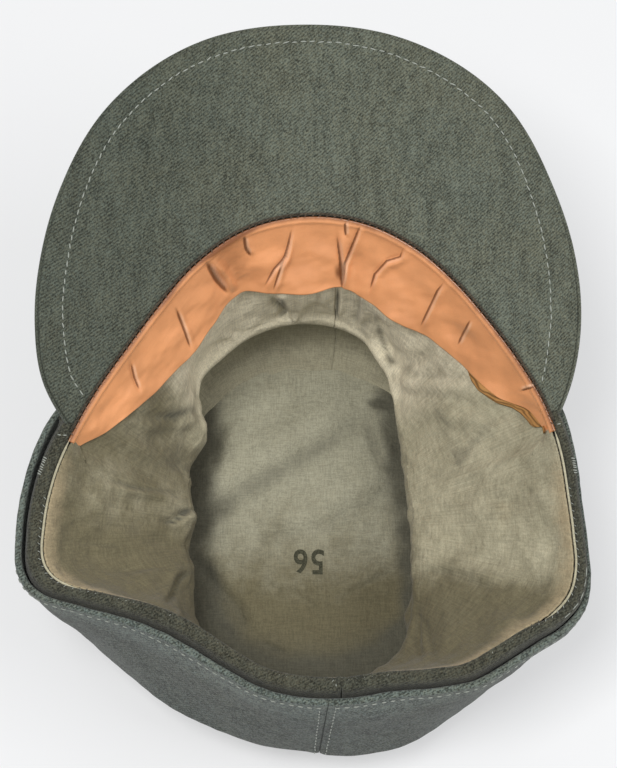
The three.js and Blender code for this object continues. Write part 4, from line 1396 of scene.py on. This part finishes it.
class CAP_OT_peak(CapOperator, bpy.types.Operator):
    """Build the stiff peak in its upper cloth, the cloth under it and its stitch line"""

    bl_idname = "cap.peak"
    bl_label = "Peak"

    def execute(self, context):
        # The peak's wool takes a painted shade, darker towards the right.
        cloth = wool("peak_wool", self.colours.wool, worn_and_shaded=True)
        marks = {"worn_and_shaded": peak_painted_shade}
        board = woven("peak_upper_cloth", 420, 110, board_place, section=True, marks=marks)
        self.finished(board, cloth, "wool_cloth", "peak_board")
        under = woven("peak_underside", 420, 90, under_cloth_place, upward, wall=0.7, marks=marks)
        self.finished(under, cloth, "wool_cloth", "peak_under_cloth")
        rows = stitch_line(peak_stitch_place, -74.5, 76.5, upward, self.size("stitch_pitch"),
                           self.size("stitch_length"), self.size("thread_width"), seed=3, slant=5)
        light = thread("peak_thread", self.colours.thread_light)
        self.finished(stitched("peak_stitches", rows), light, "wool_cloth")
        return {"FINISHED"}


class CAP_OT_crown(CapOperator, bpy.types.Operator):
    """Build the crown's two side panels with their rolled edge, and its top panel"""

    bl_idname = "cap.crown"
    bl_label = "Crown"

    def execute(self, context):
        cloth = wool("crown_wool", self.colours.hem, twill=0.1, fleck=1.3, lean=48)
        panels = (
            ("right", SEAM_EDGE, CROWN_BACK_SEAM - SEAM_EDGE),
            ("left", CROWN_BACK_SEAM + SEAM_EDGE - 360, -SEAM_EDGE),
        )
        for side, start, end in panels:
            place = crown_place(start, end)
            panel = woven("crown_cloth_" + side, 460, 96, place, crown_outside, wall=1.1)
            self.finished(panel, cloth, "wool_cloth", "crown_side_" + side)
        top = woven("crown_top_cloth", 200, 24, crown_top_place, downward, whole=True, wall=1.2)
        self.finished(top, cloth, "wool_cloth", "crown_top")
        # Small stitches round the rim, rows across the roll beside the peak's ends and the back seam, a
        # few long stitches on the left, and a bar tack past each end of the sweatband.
        rows = list(stitch_line(lambda deg: on_roll(deg, 0.1, -0.2), 100, 262, upward, pitch=2.7,
                                length=1.3, width=0.26, seed=21, slant=55))
        for deg in (PEAK_RIGHT + 2.6, PEAK_LEFT - 2.6, CROWN_BACK_SEAM - 1.1, CROWN_BACK_SEAM + 1.1):
            rows += stitch_line(lambda share, deg=deg: on_roll(deg + 0 * share, share, 0.15), 0.12, 0.66,
                                upward, pitch=1.6, length=1.4, width=0.4, seed=23)
        rows += stitch_line(lambda deg: on_roll(deg, 0.78, -1.0), 236, 247, outward, pitch=4.0,
                            length=3.7, width=0.34, seed=25)
        for start, end in ((91.5, 95.5), (264.5, 268.0)):
            rows += stitch_line(lambda deg: on_roll(deg, 0.72, -0.4), start, end, upward, pitch=0.8,
                                length=1.5, width=0.45, seed=27, slant=78)
        light = thread("light_thread", self.colours.thread_light)
        self.finished(stitched("hem_stitches", rows), light, "wool_cloth")
        return {"FINISHED"}


class CAP_OT_curtain(CapOperator, bpy.types.Operator):
    """Build the two halves of the turned-up curtain and their topstitching"""

    bl_idname = "cap.curtain"
    bl_label = "Curtain"

    def execute(self, context):
        # The curtain's wool takes a painted light, paler along its upper edge.
        cloth = wool("curtain_wool", self.colours.wool_nap, painted_light=0.46, twill=0.1, fleck=1.5, tall=1.4,
                     lean=48)
        halves = (
            ("right", SEAM_EDGE - LAP_END, CURTAIN_BACK_SEAM - SEAM_EDGE, False),
            ("left", CURTAIN_BACK_SEAM + SEAM_EDGE - 360, LAP_END - SEAM_EDGE, True),
        )
        for side, start, end, lapped in halves:
            place = curtain_place(start, end, lapped, seam=start if lapped else end)
            half = woven("curtain_cloth_" + side, 380, 150, place, section=True, marks={"painted_light": curtain_painted_light})
            self.finished(half, cloth, "wool_cloth", "curtain_" + side)
        stitch = {
            "pitch": self.size("stitch_pitch"),
            "length": 0.8 * self.size("stitch_length"),
            "width": self.size("thread_width"),
        }
        rows = []
        for start, end, lapped in ((20, 184, False), (186, 340, True)):
            line = curtain_edge_line(self.size("curtain_inset"), lapped)
            rows += stitch_line(line, start, end, outward, **stitch, seed=5)
        for side in (-1, 1):
            line = back_seam_line(self.size("seam_inset"), side)
            rows += stitch_line(line, 0.03, 0.97, outward, **stitch, seed=7)
        light = bpy.data.materials["light_thread"]
        self.finished(stitched("curtain_stitches", rows), light, "wool_cloth")
        return {"FINISHED"}


class CAP_OT_sweatband(CapOperator, bpy.types.Operator):
    """Build the creased leather sweatband, its welt and its seam"""

    bl_idname = "cap.sweatband"
    bl_label = "Sweatband"

    def execute(self, context):
        colours = self.colours
        # The leather's marks: browner creases and patches, partly painted shade, and a painted highlight
        # along the creases' ridges.
        marks = {"crease": leather_wear_and_shade, "painted_highlight": leather_painted_highlight}
        band = woven("sweatband_leather", 520, 80, dressed_band, inward, wall=0.8, marks=marks)
        hide = leather("sweatband_leather", colours.leather, colours.leather_worn_and_shade)
        self.finished(band, hide, "leather", "sweatband")
        welt = tube("sweatband_welt", along_rim(0.3, 0.1), PEAK_LEFT - 1.5, PEAK_RIGHT + 1.5, 400,
                    lambda deg: self.size("welt_radius") + 0 * deg)
        self.finished(welt, wool("welt_cloth", colours.welt), "leather")
        rows = stitch_line(along_rim(-0.35, -0.15), BAND_LEFT + 1, BAND_RIGHT - 1, upward, pitch=2.6,
                           length=1.5, width=0.5, seed=11, slant=50)
        brown = thread("brown_thread", colours.thread_brown)
        self.finished(stitched("sweatband_seam", rows), brown, "leather")
        layers = {"crease": raw_layers}
        edge = woven("sweatband_raw_edge", 200, 14, raw_edge_place, inward, wall=0.5, marks=layers)
        raw = leather("raw_leather", colours.raw_edge, shade(colours.raw_edge, 0.4), gloss=0.0)
        self.finished(edge, raw, "leather")
        return {"FINISHED"}


class CAP_OT_lining(CapOperator, bpy.types.Operator):
    """Build the loose lining of the sides and of the top, its folded edge and its stitches"""

    bl_idname = "cap.lining"
    bl_label = "Lining"

    def execute(self, context):
        colours = self.colours
        # Colours of the stains, which also paint shade, of the painted shade and grime, and of the tan
        # rims.
        stain_shade_and_tan = colours.stain_and_shade, colours.dirt_and_shade_grey, colours.tan
        side_cotton = cotton("side_lining_cotton", colours.lining, colours.lining_painted_light, *stain_shade_and_tan)
        top_cotton = cotton("top_lining_cotton", colours.lining_top, colours.lining_top, *stain_shade_and_tan, flat=False)
        # The side lining's marks: painted shade and grime, stains that also paint shade, tan, and painted
        # light in front.
        marks = {"dirt_and_shade": side_dirt_and_shade, "stain_and_shade": side_stain_and_shade, "tan": side_tan, "pale": side_painted_light}
        panels = (
            ("right", LINING_FRONT_SEAM, LINING_BACK_SEAM),
            ("left", LINING_BACK_SEAM - 360, LINING_FRONT_SEAM),
        )
        for side, start, end in panels:
            place = dressed_lining(start + SEAM_EDGE, end - SEAM_EDGE)
            panel = woven("lining_cloth_" + side, 320, 142, place, inward, wall=0.7, marks=marks)
            self.finished(panel, side_cotton, "cotton_lining", "lining_side_" + side)
        # The top lining's marks: painted shade and grime, and stains that also paint shade.
        top = woven("top_lining_cloth", 300, 90, top_lining_place, upward, whole=True, wall=0.7,
                    marks={"dirt_and_shade": top_dirt_and_shade, "stain_and_shade": top_stain_and_shade})
        self.finished(top, top_cotton, "cotton_lining", "lining_top")
        for side, start, end in (("right", 87.0, 122.0), ("left", 234.0, 274.5)):
            thick = tapering(start, end, self.size("piping_radius"))
            piping = tube("lining_edge_" + side, along_rim(-0.3, -0.75), start, end, 320, thick)
            self.finished(piping, side_cotton, "cotton_lining")
        rows = stitch_line(along_rim(-0.75, -0.95), BAND_RIGHT + 1, 359 + BAND_LEFT, upward,
                           self.size("hem_pitch"), length=1.1, width=0.32, seed=13, slant=60)
        dark = thread("dark_thread", colours.thread_dark)
        self.finished(stitched("lining_stitches", rows), dark, "cotton_lining")
        return {"FINISHED"}


# The head size number: where its middle is, how it is stretched and spaced, the font's size for each
# millimetre of a digit's height, and how far the ink is above the cloth.
NUMBER_PLACE, NUMBER_STRETCH = (-1.9, 39.7, 0), (0.9, 1.1)
DIGIT_SPACING, FONT_HEIGHT, INK_RISE = 1.12, 1.36, 0.06


class CAP_OT_number(CapOperator, bpy.types.Operator):
    """Stamp the head size in centimetres on the top lining"""

    bl_idname = "cap.number"
    bl_label = "Size number"

    def execute(self, context):
        text = bpy.data.curves.new("size_number", "FONT")
        text.body = "56"
        text.size = context.scene.cap_sizes.digit_height * FONT_HEIGHT
        text.align_x, text.align_y = "CENTER", "CENTER"
        text.space_character = DIGIT_SPACING
        text.offset = context.scene.cap_sizes.digit_weight
        flat = bpy.data.objects.new("size_number_text", text)
        context.scene.collection.objects.link(flat)
        context.view_layer.update()
        mesh = bpy.data.meshes.new_from_object(flat)
        bpy.data.objects.remove(flat)
        bm = bmesh.new()
        bm.from_mesh(mesh)
        bmesh.ops.triangulate(bm, faces=bm.faces)
        bmesh.ops.subdivide_edges(bm, edges=bm.edges, cuts=3, use_grid_fill=True)
        middle = Matrix.Translation(Vector(NUMBER_PLACE) * MM)
        bm.transform(middle @ Matrix.Diagonal((*NUMBER_STRETCH, 1, 1)))
        places = np.array([vert.co for vert in bm.verts]) / MM
        deg = azimuth_of(places)
        away = np.hypot(places[:, 0] - HEAD_X, places[:, 1] - HEAD_Y) / top_lining_radius(deg)
        heights = top_lining_place((deg % 360) / 360, 1 - away)[:, 2] + INK_RISE
        for vert, height in zip(bm.verts, heights):
            vert.co.z = height * MM
        turn_faces(bm, upward)
        bm.to_mesh(mesh)
        bm.free()
        number = add_object("size_number", mesh)
        self.finished(number, ink("stamp_ink", self.colours.ink), "cotton_lining")
        return {"FINISHED"}


# A button's outline from its middle to its shank, in shares of its radius and depth.
BUTTON_PROFILE = (
    (0, 1.0), (0.3, 0.985), (0.6, 0.93), (0.82, 0.84), (0.9, 0.72), (0.97, 0.66), (1, 0.55), (0.97, 0.42),
    (0.86, 0.36), (0.28, 0.34), (0.28, 0),
)


class CAP_OT_buttons(CapOperator, bpy.types.Operator):
    """Build the two painted buttons that hold the curtain's front ends"""

    bl_idname = "cap.buttons"
    bl_label = "Buttons"

    def execute(self, context):
        paint = enamel("button_paint", self.colours.paint)
        for node in ("button_1", "button_2"):
            low, high = (Vector(corner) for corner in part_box(node))
            middle = (low + high) / 2
            radius, depth = (high.x - low.x) / 2, high.y - low.y
            bm = bmesh.new()
            verts = [bmesh.ops.create_vert(bm, co=(share * radius, -way * depth, 0))["vert"][0]
                     for share, way in BUTTON_PROFILE]
            edges = [bm.edges.new(pair) for pair in zip(verts[:-1], verts[1:])]
            bmesh.ops.spin(bm, geom=verts + edges, cent=(0, 0, 0), axis=(0, 1, 0), dvec=(0, 0, 0),
                           angle=2 * math.pi, steps=48, use_merge=True, use_duplicate=False)
            bmesh.ops.remove_doubles(bm, verts=bm.verts, dist=1e-6)
            bmesh.ops.holes_fill(bm, edges=[edge for edge in bm.edges if edge.is_boundary])
            bmesh.ops.recalc_face_normals(bm, faces=bm.faces)
            bm.transform(Matrix.Translation((middle.x, high.y, middle.z)))
            button = add_object(node + "_painted", mesh_from(bm, node + "_painted"))
            self.finished(button, paint, "painted_buttons", node)
        return {"FINISHED"}


# The stage, in metres: half the floor's width, the sky's colour and strength, the lamps with their
# places, sizes, powers and colours, the camera's lens and place, and what they are pointed at.
FLOOR_REACH = 3.0
SKY_COLOUR, SKY_STRENGTH = (0.97, 0.985, 1.0, 1.0), 0.46
LAMPS = (
    ("key_light", (0.3, 0.25, 1.4), 0.45, 12.0, (1.0, 0.99, 0.97)),
    ("fill_light", (-0.9, 0.1, 1.1), 0.8, 7.0, (1.0, 1.0, 1.0)),
)
LENS, CAMERA_PLACE = 112.9, (-0.0006, 0.3181, 0.8937)
LAMP_AIM, CAMERA_AIM = (0, 0, 0.05), (-0.0018, 0.0024, 0.095)


def aimed(name, data, place, aim):
    """A lamp or a camera at one place, pointed at another."""
    holder = add_object(name, data)
    holder.location = place
    holder.rotation_euler = (Vector(aim) - Vector(place)).to_track_quat("-Z", "Y").to_euler()
    return holder


class CAP_OT_stage(CapOperator, bpy.types.Operator):
    """Set the pale floor, the soft lights and the camera"""

    bl_idname = "cap.stage"
    bl_label = "Stage"

    def execute(self, context):
        scene = context.scene
        bm = bmesh.new()
        bmesh.ops.create_grid(bm, x_segments=1, y_segments=1, size=FLOOR_REACH)
        floor = add_object("floor", mesh_from(bm, "floor"))
        floor.data.shade_flat()
        floor.data.materials.append(ground("floor_paint", self.colours.floor))
        world = bpy.data.worlds.new("studio")
        world.use_nodes = True
        sky = world.node_tree.nodes["Background"]
        sky.inputs["Color"].default_value = SKY_COLOUR
        sky.inputs["Strength"].default_value = SKY_STRENGTH
        scene.world = world
        for name, place, size, power, colour in LAMPS:
            lamp = bpy.data.lights.new(name, "AREA")
            lamp.size, lamp.energy, lamp.color = size, power, colour
            aimed(name, lamp, place, LAMP_AIM)
        scene.view_settings.view_transform = "Standard"
        camera = bpy.data.cameras.new("camera")
        camera.lens, camera.sensor_width = LENS, 36.0
        scene.camera = aimed("camera", camera, CAMERA_PLACE, CAMERA_AIM)
        return {"FINISHED"}


PIECES = (CAP_OT_peak, CAP_OT_crown, CAP_OT_curtain, CAP_OT_sweatband, CAP_OT_lining, CAP_OT_number,
          CAP_OT_buttons, CAP_OT_stage)


class CAP_PT_panel(bpy.types.Panel):
    """The cap's settings and the operators that build it."""

    bl_label = "Field cap"
    bl_idname = "CAP_PT_panel"
    bl_space_type = "VIEW_3D"
    bl_region_type = "UI"
    bl_category = "Cap"

    def draw(self, context):
        for settings in (context.scene.cap_sizes, context.scene.cap_colours):
            box = self.layout.box()
            for key in settings.__annotations__:
                box.prop(settings, key)
        for piece in PIECES:
            self.layout.operator(piece.bl_idname)


CLASSES = (CapSizes, CapColours, *PIECES, CAP_PT_panel)


def register():
    for each in CLASSES:
        bpy.utils.register_class(each)
    bpy.types.Scene.cap_sizes = bpy.props.PointerProperty(type=CapSizes)
    bpy.types.Scene.cap_colours = bpy.props.PointerProperty(type=CapColours)


def unregister():
    del bpy.types.Scene.cap_colours
    del bpy.types.Scene.cap_sizes
    for each in reversed(CLASSES):
        bpy.utils.unregister_class(each)


def main():
    register()
    bpy.ops.cap.peak()
    bpy.ops.cap.crown()
    bpy.ops.cap.curtain()
    bpy.ops.cap.sweatband()
    bpy.ops.cap.lining()
    bpy.ops.cap.number()
    bpy.ops.cap.buttons()
    bpy.ops.cap.stage()


if __name__ == "__main__":
    main()
